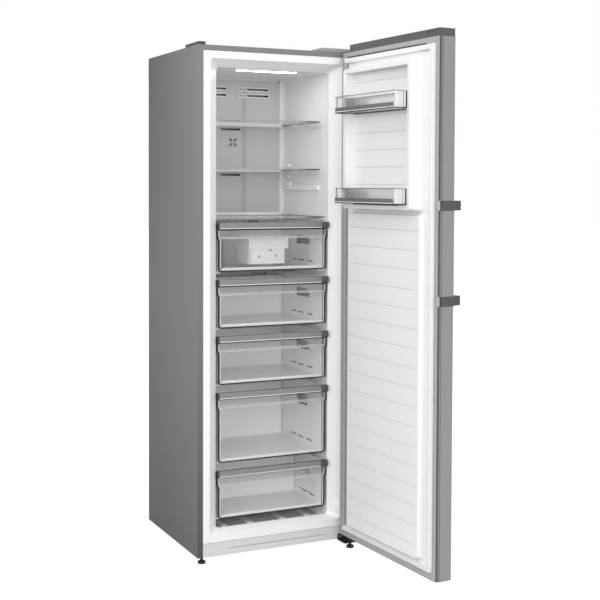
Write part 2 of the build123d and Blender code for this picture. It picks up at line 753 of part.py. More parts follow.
# ---- Rear cover and power inlet ----
COVER_X = (SHEET + FIT, CABINET_WIDTH - SHEET - FIT)
COVER_Y = (CABINET_DEPTH - COVER_THICKNESS, CABINET_DEPTH)
COVER_Z = (BASE_LIP / 2, MACHINE_HEIGHT - FIT)
COVER_SCREWS = [(x, z) for x in drawn_in(COVER_X, BASE_LIP) for z in drawn_in(COVER_Z, BASE_LIP)]

with BuildPart(CABINET) as machine_cover:
    block(COVER_X, COVER_Y, COVER_Z)
    with BuildSketch(upright(CABINET, CABINET_DEPTH)) as louvres:
        for x in (COMPRESSOR_X, CONDENSER_X):
            with Locations((x, middle(COVER_Z))):
                with GridLocations(LOUVRE_SPACING, LOUVRE_PITCH, LOUVRE_COLUMNS, LOUVRE_ROWS):
                    SlotOverall(LOUVRE_WIDTH, LOUVRE_HEIGHT)
    extrude(louvres.sketch, amount=COVER_THICKNESS, mode=Mode.SUBTRACT)
    block(
        around(INLET_X, INLET_BODY[0] + 2 * FIT),
        COVER_Y,
        around(INLET_LEVEL, INLET_BODY[1] + 2 * FIT),
        mode=Mode.SUBTRACT,
    )
    for x, z in COVER_SCREWS:
        rod(SCREW_RADIUS + SCREW_PLAY, x, COVER_Y, z, mode=Mode.SUBTRACT)
save(machine_cover, "machine_cover")

with BuildPart(CABINET) as power_inlet:
    inlet_back = CABINET_DEPTH + INLET_PROUD
    flange = outline(
        upright(CABINET, inlet_back),
        around(INLET_X, INLET_FLANGE[0]),
        around(INLET_LEVEL, INLET_FLANGE[1]),
        TRIM_EASE,
    )
    extrude(flange, amount=INLET_PROUD)
    block(
        around(INLET_X, INLET_BODY[0]),
        (inlet_back - INLET_DEPTH, CABINET_DEPTH),
        around(INLET_LEVEL, INLET_BODY[1]),
    )
    socket_floor = inlet_back - SOCKET_DEPTH
    block(
        around(INLET_X, INLET_SOCKET[0]),
        (socket_floor, inlet_back),
        around(INLET_LEVEL, INLET_SOCKET[1]),
        mode=Mode.SUBTRACT,
    )
    for across_by, up_by in ((-CONTACT_PITCH, 0), (0, CONTACT_WIDTH), (CONTACT_PITCH, 0)):
        block(
            around(INLET_X + across_by, CONTACT_WIDTH),
            (socket_floor, socket_floor + CONTACT_LENGTH),
            around(INLET_LEVEL + up_by, CONTACT_HEIGHT),
        )
save(power_inlet, "power_inlet")

with BuildPart(CABINET) as cabinet_screws:
    for x, y in TOP_SCREWS:
        head = PLATE_LEVELS[1]
        rod(SCREW_HEAD_RADIUS, x, y, (head, head + SCREW_HEAD_HEIGHT))
        rod(SCREW_RADIUS, x, y, PLATE_LEVELS)
    for x, z in LOWER_SCREWS:
        rod(SCREW_HEAD_RADIUS, x, (-HINGE_PLATE - SCREW_HEAD_HEIGHT, -HINGE_PLATE), z)
        rod(SCREW_RADIUS, x, (-HINGE_PLATE, 0), z)
    for x, z in COVER_SCREWS:
        rod(SCREW_HEAD_RADIUS, x, (CABINET_DEPTH, CABINET_DEPTH + SCREW_HEAD_HEIGHT), z)
        rod(SCREW_RADIUS, x, COVER_Y, z)
save(cabinet_screws, "cabinet_screws")

# ---- Ceiling lamp and rear air duct ----
with BuildPart(CABINET) as ceiling_lamp:
    lamp = outline(
        level(CABINET, CEILING - LAMP_THICKNESS),
        around(CENTRE, LAMP_WIDTH),
        (LAMP_FRONT, LAMP_FRONT + LAMP_DEPTH),
        LAMP_DEPTH / 2 - FIT,
    )
    extrude(lamp, amount=LAMP_THICKNESS)
save(ceiling_lamp, "ceiling_lamp")

DUCT_X = (LEFT_WALL + DUCT_SIDE_GAP, RIGHT_WALL - DUCT_SIDE_GAP)
DUCT_Z = (STEP_TOP + DUCT_FOOT_GAP, CEILING - DUCT_TOP_GAP)

with BuildPart(CABINET) as duct_cover:
    depth = LINER_BACK - DUCT_FRONT
    extrude(outline(upright(CABINET, LINER_BACK), DUCT_X, DUCT_Z, DUCT_RADIUS), amount=depth)
    hollow = outline(
        upright(CABINET, LINER_BACK),
        drawn_in(DUCT_X, DUCT_WALL),
        drawn_in(DUCT_Z, DUCT_WALL),
        DUCT_RADIUS - DUCT_WALL,
    )
    extrude(hollow, amount=depth - DUCT_WALL, mode=Mode.SUBTRACT)
    duct_face = (DUCT_FRONT, DUCT_FRONT + DUCT_WALL)
    for drop in TOP_VENT_DROPS:
        vent_z = around(CEILING - drop, TOP_VENT_HEIGHT)
        right = (DUCT_X[1] - TOP_VENT_INSETS[1], DUCT_X[1] - TOP_VENT_INSETS[0])
        left = (DUCT_X[0] + TOP_VENT_INSETS[0], DUCT_X[0] + TOP_VENT_INSETS[1])
        for vent in (left, right):
            block(vent, (DUCT_FRONT, DUCT_FRONT + TOP_VENT_RECESS), vent_z, mode=Mode.SUBTRACT)
            block((vent[1] - TOP_VENT_MOUTH, vent[1]), duct_face, vent_z, mode=Mode.SUBTRACT)
    with BuildSketch(upright(CABINET, DUCT_FRONT + DUCT_WALL)) as vents:
        for top in SHELF_TOPS[:2]:
            with Locations((CENTRE, top - SHELF_VENT_DROP)):
                SlotOverall(SHELF_VENT_WIDTH, SHELF_VENT_HEIGHT)
        with Locations((CENTRE, SHELF_TOPS[0] - PETAL_DROP)):
            with PolarLocations(PETAL_RING, PETALS, start_angle=PETAL_ANGLE):
                SlotOverall(PETAL_LENGTH, PETAL_WIDTH)
        for side in (CENTRE - DOT_OFFSET, CENTRE + DOT_OFFSET):
            with Locations((side, DRAWER_BOTTOMS[0] - DOT_DROP)):
                with GridLocations(DOT_PITCH, DOT_PITCH, DOTS, 1):
                    Circle(DOT_RADIUS)
        for side in (CENTRE - SLANT_OFFSET, CENTRE + SLANT_OFFSET):
            with Locations((side, SHELF_LOW - SLANT_DROP)):
                with GridLocations(DOT_PITCH, DOT_PITCH, SLANTS, 1):
                    SlotOverall(SLANT_LENGTH, SLANT_WIDTH, rotation=SLANT_ANGLE)
    extrude(vents.sketch, amount=DUCT_WALL, mode=Mode.SUBTRACT)
save(duct_cover, "duct_cover")


def finned_coil(x, y, z, fins, columns, rows):
    """A block of upright fins square to x, with tubes that run through them along x."""
    step = (x[1] - x[0] - FIN) / (fins - 1)
    for index in range(fins):
        block((x[0] + index * step, x[0] + index * step + FIN), y, z)
    for column in range(columns):
        for row in range(rows):
            tube_y = y[0] + (y[1] - y[0]) * (column + 0.5) / columns
            tube_z = z[0] + (z[1] - z[0]) * (row + 0.5) / rows
            rod(COIL_TUBE_RADIUS, x, tube_y, tube_z)


COIL_X = around(CENTRE, COIL_WIDTH)
COIL_Y = (DUCT_FRONT + DUCT_WALL + COIL_GAP, LINER_BACK - FIT)

with BuildPart(CABINET) as evaporator:
    finned_coil(COIL_X, COIL_Y, (COIL_LOW, COIL_TOP), COIL_FINS, COIL_COLUMNS, COIL_ROWS)
save(evaporator, "evaporator")

with BuildPart(CABINET) as defrost_heater:
    heater_level = COIL_LOW - FIT - HEATER_RADIUS
    rod(HEATER_RADIUS, drawn_in(COIL_X, HEATER_INSET), middle(COIL_Y), heater_level)
save(defrost_heater, "defrost_heater")


def fan_rotor(plane):
    """A fan on its hub, bored for its shaft; it reaches from the plane along the plane's normal."""
    with BuildPart(plane) as rotor:
        rod(FAN_HUB, 0, 0, (0, FAN_DEPTH))
        with PolarLocations(0, FAN_BLADES):
            with Locations(((FAN_HUB - SHAFT_RADIUS + FAN_TIP) / 2, 0, FAN_DEPTH / 2)):
                Box(FAN_TIP - FAN_HUB + SHAFT_RADIUS, BLADE_CHORD, FIN, rotation=(BLADE_PITCH, 0, 0))
        rod(SHAFT_RADIUS + SHAFT_PLAY, 0, 0, (0, FAN_DEPTH), mode=Mode.SUBTRACT)
    return rotor


SHROUD_Y = DUCT_FRONT + DUCT_WALL + SHROUD_DEPTH

with BuildPart(upright(CABINET, SHROUD_Y)) as evaporator_fan_shroud:
    shroud_x = around(CENTRE, SHROUD_WIDTH)
    shroud_z = around(FAN_HEIGHT, SHROUD_WIDTH)
    block(shroud_x, shroud_z, (0, SHROUD_DEPTH))
    rod(SHROUD_BORE, CENTRE, FAN_HEIGHT, (0, SHROUD_DEPTH), mode=Mode.SUBTRACT)
    block(around(CENTRE, 2 * SHROUD_BORE), around(FAN_HEIGHT, STRUT), (0, STRUT))
    block(around(CENTRE, STRUT), around(FAN_HEIGHT, 2 * SHROUD_BORE), (0, STRUT))
    rod(MOTOR_RADIUS, CENTRE, FAN_HEIGHT, (0, MOTOR_DEPTH))
    rod(SHAFT_RADIUS, CENTRE, FAN_HEIGHT, (0, MOTOR_DEPTH + FAN_GAP + FAN_DEPTH))
save(evaporator_fan_shroud, "evaporator_fan_shroud")

FAN_PLANE = Plane(
    origin=CABINET.from_local_coords((CENTRE, SHROUD_Y - MOTOR_DEPTH - FAN_GAP, FAN_HEIGHT)),
    x_dir=CABINET.x_dir,
    z_dir=-CABINET.y_dir,
)
evaporator_fan = fan_rotor(FAN_PLANE)
save(evaporator_fan, "evaporator_fan")

# ---- Machine compartment contents ----
MACHINE_MIDDLE = middle((MACHINE_FRONT, CABINET_DEPTH))

with BuildPart(level(CABINET, BASE_THICKNESS)) as compressor_mounts:
    with Locations((COMPRESSOR_X, MACHINE_MIDDLE, MOUNT_HEIGHT / 2)):
        with GridLocations(MOUNT_PITCH[0], MOUNT_PITCH[1], 2, 2):
            Cylinder(MOUNT_RADIUS, MOUNT_HEIGHT)
save(compressor_mounts, "compressor_mounts")

PLATE_LOW = BASE_THICKNESS + MOUNT_HEIGHT
COMPRESSOR_TOP = PLATE_LOW + COMPRESSOR_PLATE[2] + COMPRESSOR_HEIGHT

with BuildPart(CABINET) as compressor:
    can = (PLATE_LOW + COMPRESSOR_PLATE[2], COMPRESSOR_TOP)
    rod(COMPRESSOR_RADIUS, COMPRESSOR_X, MACHINE_MIDDLE, can)
    fillet(compressor.edges(), COMPRESSOR_EASE)
    block(
        around(COMPRESSOR_X, COMPRESSOR_PLATE[0]),
        around(MACHINE_MIDDLE, COMPRESSOR_PLATE[1]),
        (PLATE_LOW, can[0]),
    )
save(compressor, "compressor")

with BuildPart(CABINET) as drip_tray:
    tray_x = around(COMPRESSOR_X, TRAY_SIZE[0])
    tray_y = around(MACHINE_MIDDLE, TRAY_SIZE[1])
    block(tray_x, tray_y, (COMPRESSOR_TOP, COMPRESSOR_TOP + TRAY_SIZE[2]))
    block(
        drawn_in(tray_x, COVER_WALL),
        drawn_in(tray_y, COVER_WALL),
        (COMPRESSOR_TOP + COVER_WALL, COMPRESSOR_TOP + TRAY_SIZE[2]),
        mode=Mode.SUBTRACT,
    )
save(drip_tray, "drip_tray")

CONDENSER_SIDES = around(CONDENSER_X, CONDENSER_SIZE[0])
CONDENSER_Y = around(MACHINE_MIDDLE, CONDENSER_SIZE[1])
CONDENSER_Z = (BASE_THICKNESS, BASE_THICKNESS + CONDENSER_SIZE[2])

with BuildPart(Plane(origin=CABINET.origin, x_dir=CABINET.y_dir, z_dir=CABINET.z_dir)) as condenser:
    finned_coil(
        CONDENSER_Y,
        (-CONDENSER_SIDES[1], -CONDENSER_SIDES[0]),
        CONDENSER_Z,
        CONDENSER_FINS,
        CONDENSER_COLUMNS,
        CONDENSER_ROWS,
    )
save(condenser, "condenser")

SHROUD_X = CONDENSER_SIDES[0] - CONDENSER_SHROUD_GAP - CONDENSER_SHROUD
CONDENSER_FAN_LEVEL = BASE_THICKNESS + SHROUD_WIDTH / 2

with BuildPart(across(CABINET, SHROUD_X)) as condenser_fan_shroud:
    fan_at = (MACHINE_MIDDLE, CONDENSER_FAN_LEVEL)
    block(around(fan_at[0], SHROUD_WIDTH), around(fan_at[1], SHROUD_WIDTH), (0, CONDENSER_SHROUD))
    rod(SHROUD_BORE, *fan_at, (0, CONDENSER_SHROUD), mode=Mode.SUBTRACT)
    block(around(fan_at[0], 2 * SHROUD_BORE), around(fan_at[1], STRUT), (0, CONDENSER_SHROUD))
    block(around(fan_at[0], STRUT), around(fan_at[1], 2 * SHROUD_BORE), (0, CONDENSER_SHROUD))
    rod(MOTOR_RADIUS, *fan_at, (0, CONDENSER_SHROUD))
    rod(SHAFT_RADIUS, *fan_at, (0, CONDENSER_SHROUD + FAN_GAP + FAN_DEPTH))
save(condenser_fan_shroud, "condenser_fan_shroud")

condenser_fan = fan_rotor(
    Plane(
        origin=CABINET.from_local_coords(
            (SHROUD_X + CONDENSER_SHROUD + FAN_GAP, MACHINE_MIDDLE, CONDENSER_FAN_LEVEL)
        ),
        x_dir=CABINET.y_dir,
        z_dir=CABINET.x_dir,
    )
)
save(condenser_fan, "condenser_fan")

with BuildPart(CABINET) as control_box:
    box_z = (BASE_THICKNESS, BASE_THICKNESS + CONTROL_BOX_SIZE[2])
    block(
        around(CONTROL_BOX_X, CONTROL_BOX_SIZE[0]),
        around(MACHINE_MIDDLE, CONTROL_BOX_SIZE[1]),
        box_z,
    )
    fillet(control_box.edges().filter_by(Axis.Z), TRIM_EASE)
save(control_box, "control_box")

# ---- Shelves ----
DRAWER_X = (LEFT_WALL + DRAWER_SIDE_GAP, RIGHT_WALL - DRAWER_SIDE_GAP)
SHELF_BACK = DUCT_FRONT - SHELF_BACK_GAP

for number, (top, front) in enumerate(zip(SHELF_TOPS, SHELF_FRONTS), start=1):
    with BuildPart(CABINET) as shelf_glass:
        block(DRAWER_X, (front, SHELF_BACK), (top - GLASS, top))
    save(shelf_glass, f"shelf_glass_{number}")

with BuildPart(CABINET) as shelf_trims:
    trim_x = drawn_in((LEFT_WALL, RIGHT_WALL), LEDGE_WIDTH + REAR_TRIM_WALL)
    trim_back = SHELF_BACK + REAR_TRIM_WALL
    trim_front = trim_back - REAR_TRIM_DEPTH
    for top in SHELF_TOPS:
        block(trim_x, (trim_front, trim_back), (top - REAR_TRIM_DROP, top + REAR_TRIM_WALL))
        block(trim_x, (trim_front, SHELF_BACK), (top - GLASS, top), mode=Mode.SUBTRACT)
save(shelf_trims, "shelf_trims")

# ---- Drawers ----
TUB_X = (LEFT_WALL + TUB_SIDE_GAP, RIGHT_WALL - TUB_SIDE_GAP)
PANEL_BACK = DRAWER_FRONT + DRAWER_PANEL


def panel_face(low, top):
    """A drawer's front: full width under its grip, drawn in below a sloping shoulder."""
    full = DRAWER_X[1] - CENTRE
    narrow = full - PANEL_NECK
    shoulder = top - GRIP_HEIGHT - PANEL_SHOULDER
    half = [(full, top), (full, shoulder + 2 * PANEL_NECK), (narrow, shoulder), (narrow, low)]
    points = [(CENTRE + x, z) for x, z in half] + [(CENTRE - x, z) for x, z in reversed(half)]
    with BuildSketch(upright(CABINET, PANEL_BACK)) as face:
        with BuildLine():
            Polyline(*points, close=True)
        make_face()
        fillet(face.vertices().group_by(Axis.Y)[0], PANEL_CORNER)
    return face.sketch


def side_openings(low, top, dashes):
    """Cuts the hand slots and the air dashes through both sides of a drawer."""
    for side in ((TUB_X[0], TUB_X[0] + TUB_WALL), (TUB_X[1] - TUB_WALL, TUB_X[1])):
        for drop, deep in TUB_SLOT_DROPS:
            block(side, TUB_SLOT_Y, (top - deep, top - drop), mode=Mode.SUBTRACT)
        for index in range(dashes):
            start = PANEL_BACK + TUB_DASH_START + index * TUB_DASH_PITCH
            dash_z = (low + TUB_DASH_LIFT, low + TUB_DASH_LIFT + TUB_DASH_HEIGHT)
            block(side, (start, start + TUB_DASH_LENGTH), dash_z, mode=Mode.SUBTRACT)


DRAWERS = zip(DRAWER_BOTTOMS, DRAWER_TOPS, DRAWER_BACKS, TUB_DASH_COUNTS)

for number, (low, top, back, dashes) in enumerate(DRAWERS, start=1):
    with BuildPart(CABINET) as drawer_front:
        extrude(panel_face(low, top), amount=DRAWER_PANEL)

    with BuildPart(CABINET) as drawer_tub:
        tub_top = top - TUB_DROP
        outside = trough(upright(CABINET, back), TUB_X, (low, tub_top), TUB_CORNER)
        extrude(outside, amount=back - PANEL_BACK)
        inside = trough(
            upright(CABINET, back - TUB_WALL),
            drawn_in(TUB_X, TUB_WALL),
            (low + TUB_WALL, tub_top),
            TUB_CORNER - TUB_WALL,
        )
        extrude(inside, amount=back - TUB_WALL - PANEL_BACK, mode=Mode.SUBTRACT)
        side_openings(low, top, dashes)
    save_together((drawer_front, drawer_tub), f"drawer_{number}")

    with BuildPart(CABINET) as drawer_handle:
        grip_y = (DRAWER_FRONT - GRIP_DEPTH, DRAWER_FRONT)
        grip_z = (top - GRIP_HEIGHT, top)
        grip_x = drawn_in(DRAWER_X, CAP_WIDTH)
        block(grip_x, grip_y, grip_z)
        finger = (grip_y[0] + GRIP_WALL, grip_y[1] - GRIP_WALL)
        block(grip_x, finger, (grip_z[0], grip_z[1] - GRIP_WALL), mode=Mode.SUBTRACT)
        for cap in ((DRAWER_X[0], grip_x[0]), (grip_x[1], DRAWER_X[1])):
            block(cap, grip_y, grip_z)
    save(drawer_handle, f"drawer_handle_{number}")

# ---- Ice parts in the top drawer ----
ICE_FLOOR = DRAWER_BOTTOMS[0] + TUB_WALL

with BuildPart(CABINET) as ice_bin:
    extrude(outline(level(CABINET, ICE_FLOOR), ICE_BIN_X, ICE_BIN_Y, ICE_BIN_RADIUS), amount=ICE_BIN_HEIGHT)
    inside = outline(
        level(CABINET, ICE_FLOOR + ICE_WALL),
        drawn_in(ICE_BIN_X, ICE_WALL),
        drawn_in(ICE_BIN_Y, ICE_WALL),
        ICE_BIN_RADIUS - ICE_WALL,
    )
    extrude(inside, amount=ICE_BIN_HEIGHT - ICE_WALL, mode=Mode.SUBTRACT)
save(ice_bin, "ice_bin")

with BuildPart(CABINET) as ice_maker:
    lower_z = (ICE_FLOOR + ICE_LOWER_LIFT, ICE_FLOOR + ICE_LOWER_LIFT + ICE_LOWER_HEIGHT)
    upper_z = (lower_z[1], lower_z[1] + ICE_UPPER_HEIGHT)
    block(ICE_LOWER_X, ICE_LOWER_Y, lower_z)
    block(ICE_UPPER_X, ICE_UPPER_Y, upper_z)
    block(
        drawn_in(ICE_UPPER_X, ICE_WALL),
        drawn_in(ICE_UPPER_Y, ICE_WALL),
        (upper_z[0] + ICE_WALL, upper_z[1]),
        mode=Mode.SUBTRACT,
    )
    for skid in ((ICE_LOWER_X[0], ICE_LOWER_X[0] + ICE_SKID), (ICE_LOWER_X[1] - ICE_SKID, ICE_LOWER_X[1])):
        block(skid, ICE_LOWER_Y, (ICE_FLOOR + ICE_WALL, lower_z[0]))
    for right_by, up_by in ICE_HOLES:
        face = (ICE_LOWER_Y[0], ICE_LOWER_Y[0] + ICE_WALL)
        rod(ICE_HOLE_RADIUS, ICE_LOWER_X[0] + right_by, face, lower_z[0] + up_by, mode=Mode.SUBTRACT)
save(ice_maker, "ice_maker")


# ---- Door shell ----
def mirrored(points):
    """A closed outline from its left half, mirrored about the middle of the door."""
    return points + [(CABINET_WIDTH - x, y) for x, y in reversed(points)]


def door_section(z, left_half, radius):
    """A level section of the door with its two outer corners rounded."""
    with BuildSketch(level(DOOR, z)) as section:
        with BuildLine():
            Polyline(*mirrored(left_half), close=True)
        make_face()
        fillet(section.vertices().group_by(Axis.Y)[0], radius)
    return section.sketch


LIP_BACK = DOOR_IN - REBATE
GROOVE_BACK = LIP_BACK - LIP
GROOVE_FRONT = GROOVE_BACK - GROOVE
SKIN_EDGE = [
    (0, DOOR_OUT),
    (0, GROOVE_FRONT),
    (GROOVE_DEPTH, GROOVE_FRONT),
    (GROOVE_DEPTH, GROOVE_BACK),
    (0, GROOVE_BACK),
    (0, LIP_BACK),
    (DOOR_EDGE, LIP_BACK),
    (DOOR_EDGE, DOOR_IN),
]
CORE_EDGE = [
    (SHEET, DOOR_OUT + SHEET),
    (SHEET, GROOVE_FRONT - SHEET),
    (DOOR_EDGE + SHEET, GROOVE_FRONT - SHEET),
    (DOOR_EDGE + SHEET, DOOR_IN - SHEET),
]
FRAME_X = (DOOR_FRAME, CABINET_WIDTH - DOOR_FRAME)
FRAME_Z = (DOOR_FOOT + DOOR_FRAME, DOOR_TOP - DOOR_FRAME)
PLUG_X = drawn_in((DOOR_EDGE + SHEET, CABINET_WIDTH - DOOR_EDGE - SHEET), FIT)
PLUG_Y = (DOOR_OUT + SHEET + FIT, DOOR_IN - LINER - FIT)
RAISED_X = (DOOR_EDGE, CABINET_WIDTH - CAP_END)

with BuildPart(DOOR) as door_skin:
    extrude(door_section(SKIN_FOOT, SKIN_EDGE, DOOR_EDGE), amount=SKIN_TOP - SKIN_FOOT)
    core = door_section(SKIN_FOOT, CORE_EDGE, DOOR_EDGE - SHEET)
    extrude(core, amount=SKIN_TOP - SKIN_FOOT, mode=Mode.SUBTRACT)
    block(FRAME_X, (DOOR_IN - SHEET, DOOR_IN), FRAME_Z, mode=Mode.SUBTRACT)
    front_sheet = (DOOR_OUT, DOOR_OUT + SHEET)
    block(RAISED_X, front_sheet, (SKIN_TOP, SKIN_TOP + CAP_RISE))
    block((RAISED_X[1], CABINET_WIDTH - DOOR_EDGE), front_sheet, (SKIN_TOP, DOOR_TOP))
save(door_skin, "door_skin")

with BuildPart(DOOR) as door_top_cap:
    cap_y = (DOOR_OUT + SHEET, DOOR_IN)
    block((DOOR_EDGE, CABINET_WIDTH - DOOR_EDGE), cap_y, (SKIN_TOP, DOOR_TOP))
    block(RAISED_X, cap_y, (SKIN_TOP, SKIN_TOP + CAP_RISE))
    block(PLUG_X, PLUG_Y, (SKIN_TOP - CAP_PLUG, SKIN_TOP))
    block(
        CAP_RECESS_X,
        (DOOR_IN - COVER_WALL, DOOR_IN),
        (SKIN_TOP + CAP_RECESS_Z[0], SKIN_TOP + CAP_RECESS_Z[1]),
        mode=Mode.SUBTRACT,
    )
    bore_low = CABINET_HEIGHT - PIN_LENGTH - COVER_WALL
    rod(PIN_RADIUS + PIN_PLAY, HINGE_X, HINGE_Y, (bore_low, DOOR_TOP), mode=Mode.SUBTRACT)
save(door_top_cap, "door_top_cap")

with BuildPart(DOOR) as door_bottom_cap:
    extrude(door_section(DOOR_FOOT, SKIN_EDGE, DOOR_EDGE), amount=CAP_PLATE_FOOT)
    block(PLUG_X, PLUG_Y, (SKIN_FOOT, SKIN_FOOT + CAP_PLUG))
    bore_high = SKIN_FOOT + CAP_PLUG - COVER_WALL
    rod(PIN_RADIUS + PIN_PLAY, HINGE_X, HINGE_Y, (DOOR_FOOT, bore_high), mode=Mode.SUBTRACT)
save(door_bottom_cap, "door_bottom_cap")

# ---- Door liner, foam and gasket ----
PLATE_X = drawn_in(FRAME_X, FIT)
PLATE_Z = drawn_in(FRAME_Z, FIT)
PLATE_Y = (DOOR_IN - LINER, DOOR_IN)
UPPER_FORM_Z = (SHELF_LOW + UPPER_FORM_GAP, DOOR_TOP - UPPER_FORM_TOP_GAP)
RECESS_X = (RECESS_INSET, CABINET_WIDTH - RECESS_INSET)
RECESS_Z = (UPPER_FORM_Z[0] + RECESS_FOOT_GAP, DOOR_TOP - RECESS_TOP_GAP)
PAD_X = (PAD_INSET, CABINET_WIDTH - PAD_INSET)
PAD_Z = (PAD_FOOT, UPPER_FORM_Z[0] - PAD_GAP)
UPPER_FORM_X = (UPPER_FORM_INSET, CABINET_WIDTH - UPPER_FORM_INSET)


def raised_form(x, z, depth, drafts, shrink):
    """A moulded form on the door's inner face; drafts are its side, foot and top slopes."""
    side, foot, top = drafts
    base = outline(
        upright(Plane.XY, PLATE_Y[0]), drawn_in(x, shrink), drawn_in(z, shrink), OPENING_RADIUS
    )
    crest_z = (z[0] + foot + shrink, z[1] - top - shrink)
    crest = outline(
        upright(Plane.XY, DOOR_IN + depth - shrink), drawn_in(x, side + shrink), crest_z, OPENING_RADIUS
    )
    loft([base, crest])


def door_forms(shrink):
    """Both moulded forms of the door's inner face, drawn in by shrink."""
    with BuildPart() as forms:
        drafts = (FORM_DRAFT, FORM_FOOT_DRAFT, FORM_TOP_DRAFT)
        raised_form(UPPER_FORM_X, UPPER_FORM_Z, UPPER_FORM_DEPTH, drafts, shrink)
        block(
            drawn_in(RECESS_X, -shrink),
            (DOOR_IN + RECESS_LEVEL - shrink, DOOR_IN + UPPER_FORM_DEPTH),
            drawn_in(RECESS_Z, -shrink),
            mode=Mode.SUBTRACT,
        )
        raised_form(PAD_X, PAD_Z, PAD_DEPTH, (PAD_DRAFT, PAD_DRAFT, PAD_DRAFT), shrink)
    return forms.part


with BuildPart(DOOR) as door_liner:
    block(PLATE_X, PLATE_Y, PLATE_Z)
    add(door_forms(0))
    add(door_forms(LINER), mode=Mode.SUBTRACT)
    recess_floor = DOOR_IN + RECESS_LEVEL
    for index in range(UPPER_GROOVES):
        block(
            drawn_in(RECESS_X, FORM_GROOVE_MARGIN),
            (recess_floor - FORM_GROOVE_DEPTH, recess_floor),
            around(RECESS_Z[0] + UPPER_GROOVE_LOW + index * GROOVE_PITCH, FORM_GROOVE_WIDTH),
            mode=Mode.SUBTRACT,
        )
    pad_face = DOOR_IN + PAD_DEPTH
    for index in range(PAD_GROOVES):
        block(
            drawn_in(PAD_X, PAD_DRAFT + FORM_GROOVE_MARGIN),
            (pad_face - FORM_GROOVE_DEPTH, pad_face),
            around(PAD_Z[1] - PAD_GROOVE_TOP - index * PAD_GROOVE_PITCH, FORM_GROOVE_WIDTH),
            mode=Mode.SUBTRACT,
        )
    for low in (UPPER_BIN_LOW, LOWER_BIN_LOW):
        for lug in ((RECESS_X[0], RECESS_X[0] + LUG_WIDTH), (RECESS_X[1] - LUG_WIDTH, RECESS_X[1])):
            block(lug, (recess_floor, recess_floor + LUG_DEPTH), (low - LUG_HEIGHT, low))
save(door_liner, "door_liner")

with BuildPart(DOOR) as door_foam:
    foam_low = SKIN_FOOT + CAP_PLUG
    core = door_section(foam_low, CORE_EDGE, DOOR_EDGE)
    extrude(core, amount=SKIN_TOP - CAP_PLUG - foam_low)
    block(FRAME_X, (PLATE_Y[0], DOOR_IN), FRAME_Z, mode=Mode.SUBTRACT)
    add(door_forms(LINER))
save(door_foam, "door_foam")

with BuildPart(DOOR) as door_gasket:
    ring_x = (GASKET_INSET, CABINET_WIDTH - GASKET_INSET)
    ring_z = (DOOR_FOOT + GASKET_INSET, DOOR_TOP - GASKET_INSET)
    ring = outline(upright(DOOR, DOOR_IN), ring_x, ring_z, GASKET_RADIUS)
    extrude(ring, amount=-GASKET_THICKNESS)
    hole = outline(
        upright(DOOR, DOOR_IN),
        drawn_in(ring_x, GASKET_WIDTH),
        drawn_in(ring_z, GASKET_WIDTH),
        GASKET_RADIUS / 2,
    )
    extrude(hole, amount=-GASKET_THICKNESS, mode=Mode.SUBTRACT)
save(door_gasket, "door_gasket")

# ---- Door bins and their dividers ----
BIN_X = drawn_in(RECESS_X, FIT)
BIN_Y = (DOOR_IN + RECESS_LEVEL, DOOR_IN + RECESS_LEVEL + BIN_DEPTH)
BINS = {"upper": (UPPER_BIN_LOW, UPPER_BIN_HEIGHT), "lower": (LOWER_BIN_LOW, LOWER_BIN_HEIGHT)}

for place, (low, height) in BINS.items():
    with BuildPart(DOOR) as door_bin:
        extrude(outline(level(DOOR, low), BIN_X, BIN_Y, BIN_RADIUS), amount=height)
        inside = outline(
            level(DOOR, low + BIN_WALL),
            drawn_in(BIN_X, BIN_WALL),
            drawn_in(BIN_Y, BIN_WALL),
            BIN_RADIUS - BIN_WALL,
        )
        extrude(inside, amount=height - BIN_WALL, mode=Mode.SUBTRACT)
    save(door_bin, f"bin_{place}")

    with BuildPart(DOOR) as bin_divider:
        top = low + height
        wall = (BIN_Y[1] - BIN_WALL, BIN_Y[1])
        span = around(CABINET_WIDTH - DIVIDER_INSET, DIVIDER_WIDTH)
        inner = (wall[0] - FIT - DIVIDER_SHEET, wall[0] - FIT)
        outer = (wall[1] + FIT, wall[1] + FIT + DIVIDER_SHEET)
        cheek_z = (low + BIN_WALL + FIT, top - DIVIDER_DROP)
        for cheek in ((span[0], span[0] + DIVIDER_SHEET), (span[1] - DIVIDER_SHEET, span[1])):
            block(cheek, (BIN_Y[0] + BIN_WALL + FIT, inner[1]), cheek_z)
        block(span, inner, (cheek_z[0], top + FIT))
        block(span, (inner[0], outer[1]), (top + FIT, top + FIT + DIVIDER_SHEET))
        block(span, outer, (top - SADDLE_DROP, top + FIT))
    save(bin_divider, f"bin_divider_{place}")

# ---- Door handle ----
BRACKET_LOWS = (HANDLE_LOW, HANDLE_LOW + HANDLE_LENGTH - BRACKET_HEIGHT)

with BuildPart(DOOR) as handle_brackets:
    for low in BRACKET_LOWS:
        span = (low, low + BRACKET_HEIGHT)
        block((-CLIP, 0), (DOOR_OUT - CLIP, DOOR_IN + CLIP_LIP), span)
        block((-CLIP, CLIP_REACH), (DOOR_IN, DOOR_IN + CLIP_LIP), span)
        block((-CLIP, ARM_END), (DOOR_OUT - CLIP, DOOR_OUT), span)
        block((ARM_START, ARM_END), (ARM_FRONT, DOOR_OUT), span)
save(handle_brackets, "handle_brackets")

with BuildPart(DOOR) as handle_bar:
    bar_z = (BRACKET_LOWS[0] + BRACKET_HEIGHT, BRACKET_LOWS[1])
    block(GRIP_BAR_X, (ARM_FRONT, ARM_FRONT + GRIP_BAR_THICKNESS), bar_z)
save(handle_bar, "handle_bar")
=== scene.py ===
"""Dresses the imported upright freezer: finishes, moulded detail, studio and camera.

The cabinet is drawn in millimetres from its front lower left corner, as the part is: x runs right, y runs
back and z runs up. The door is drawn closed in the same millimetres, and its space swings it open.
"""
from __future__ import annotations

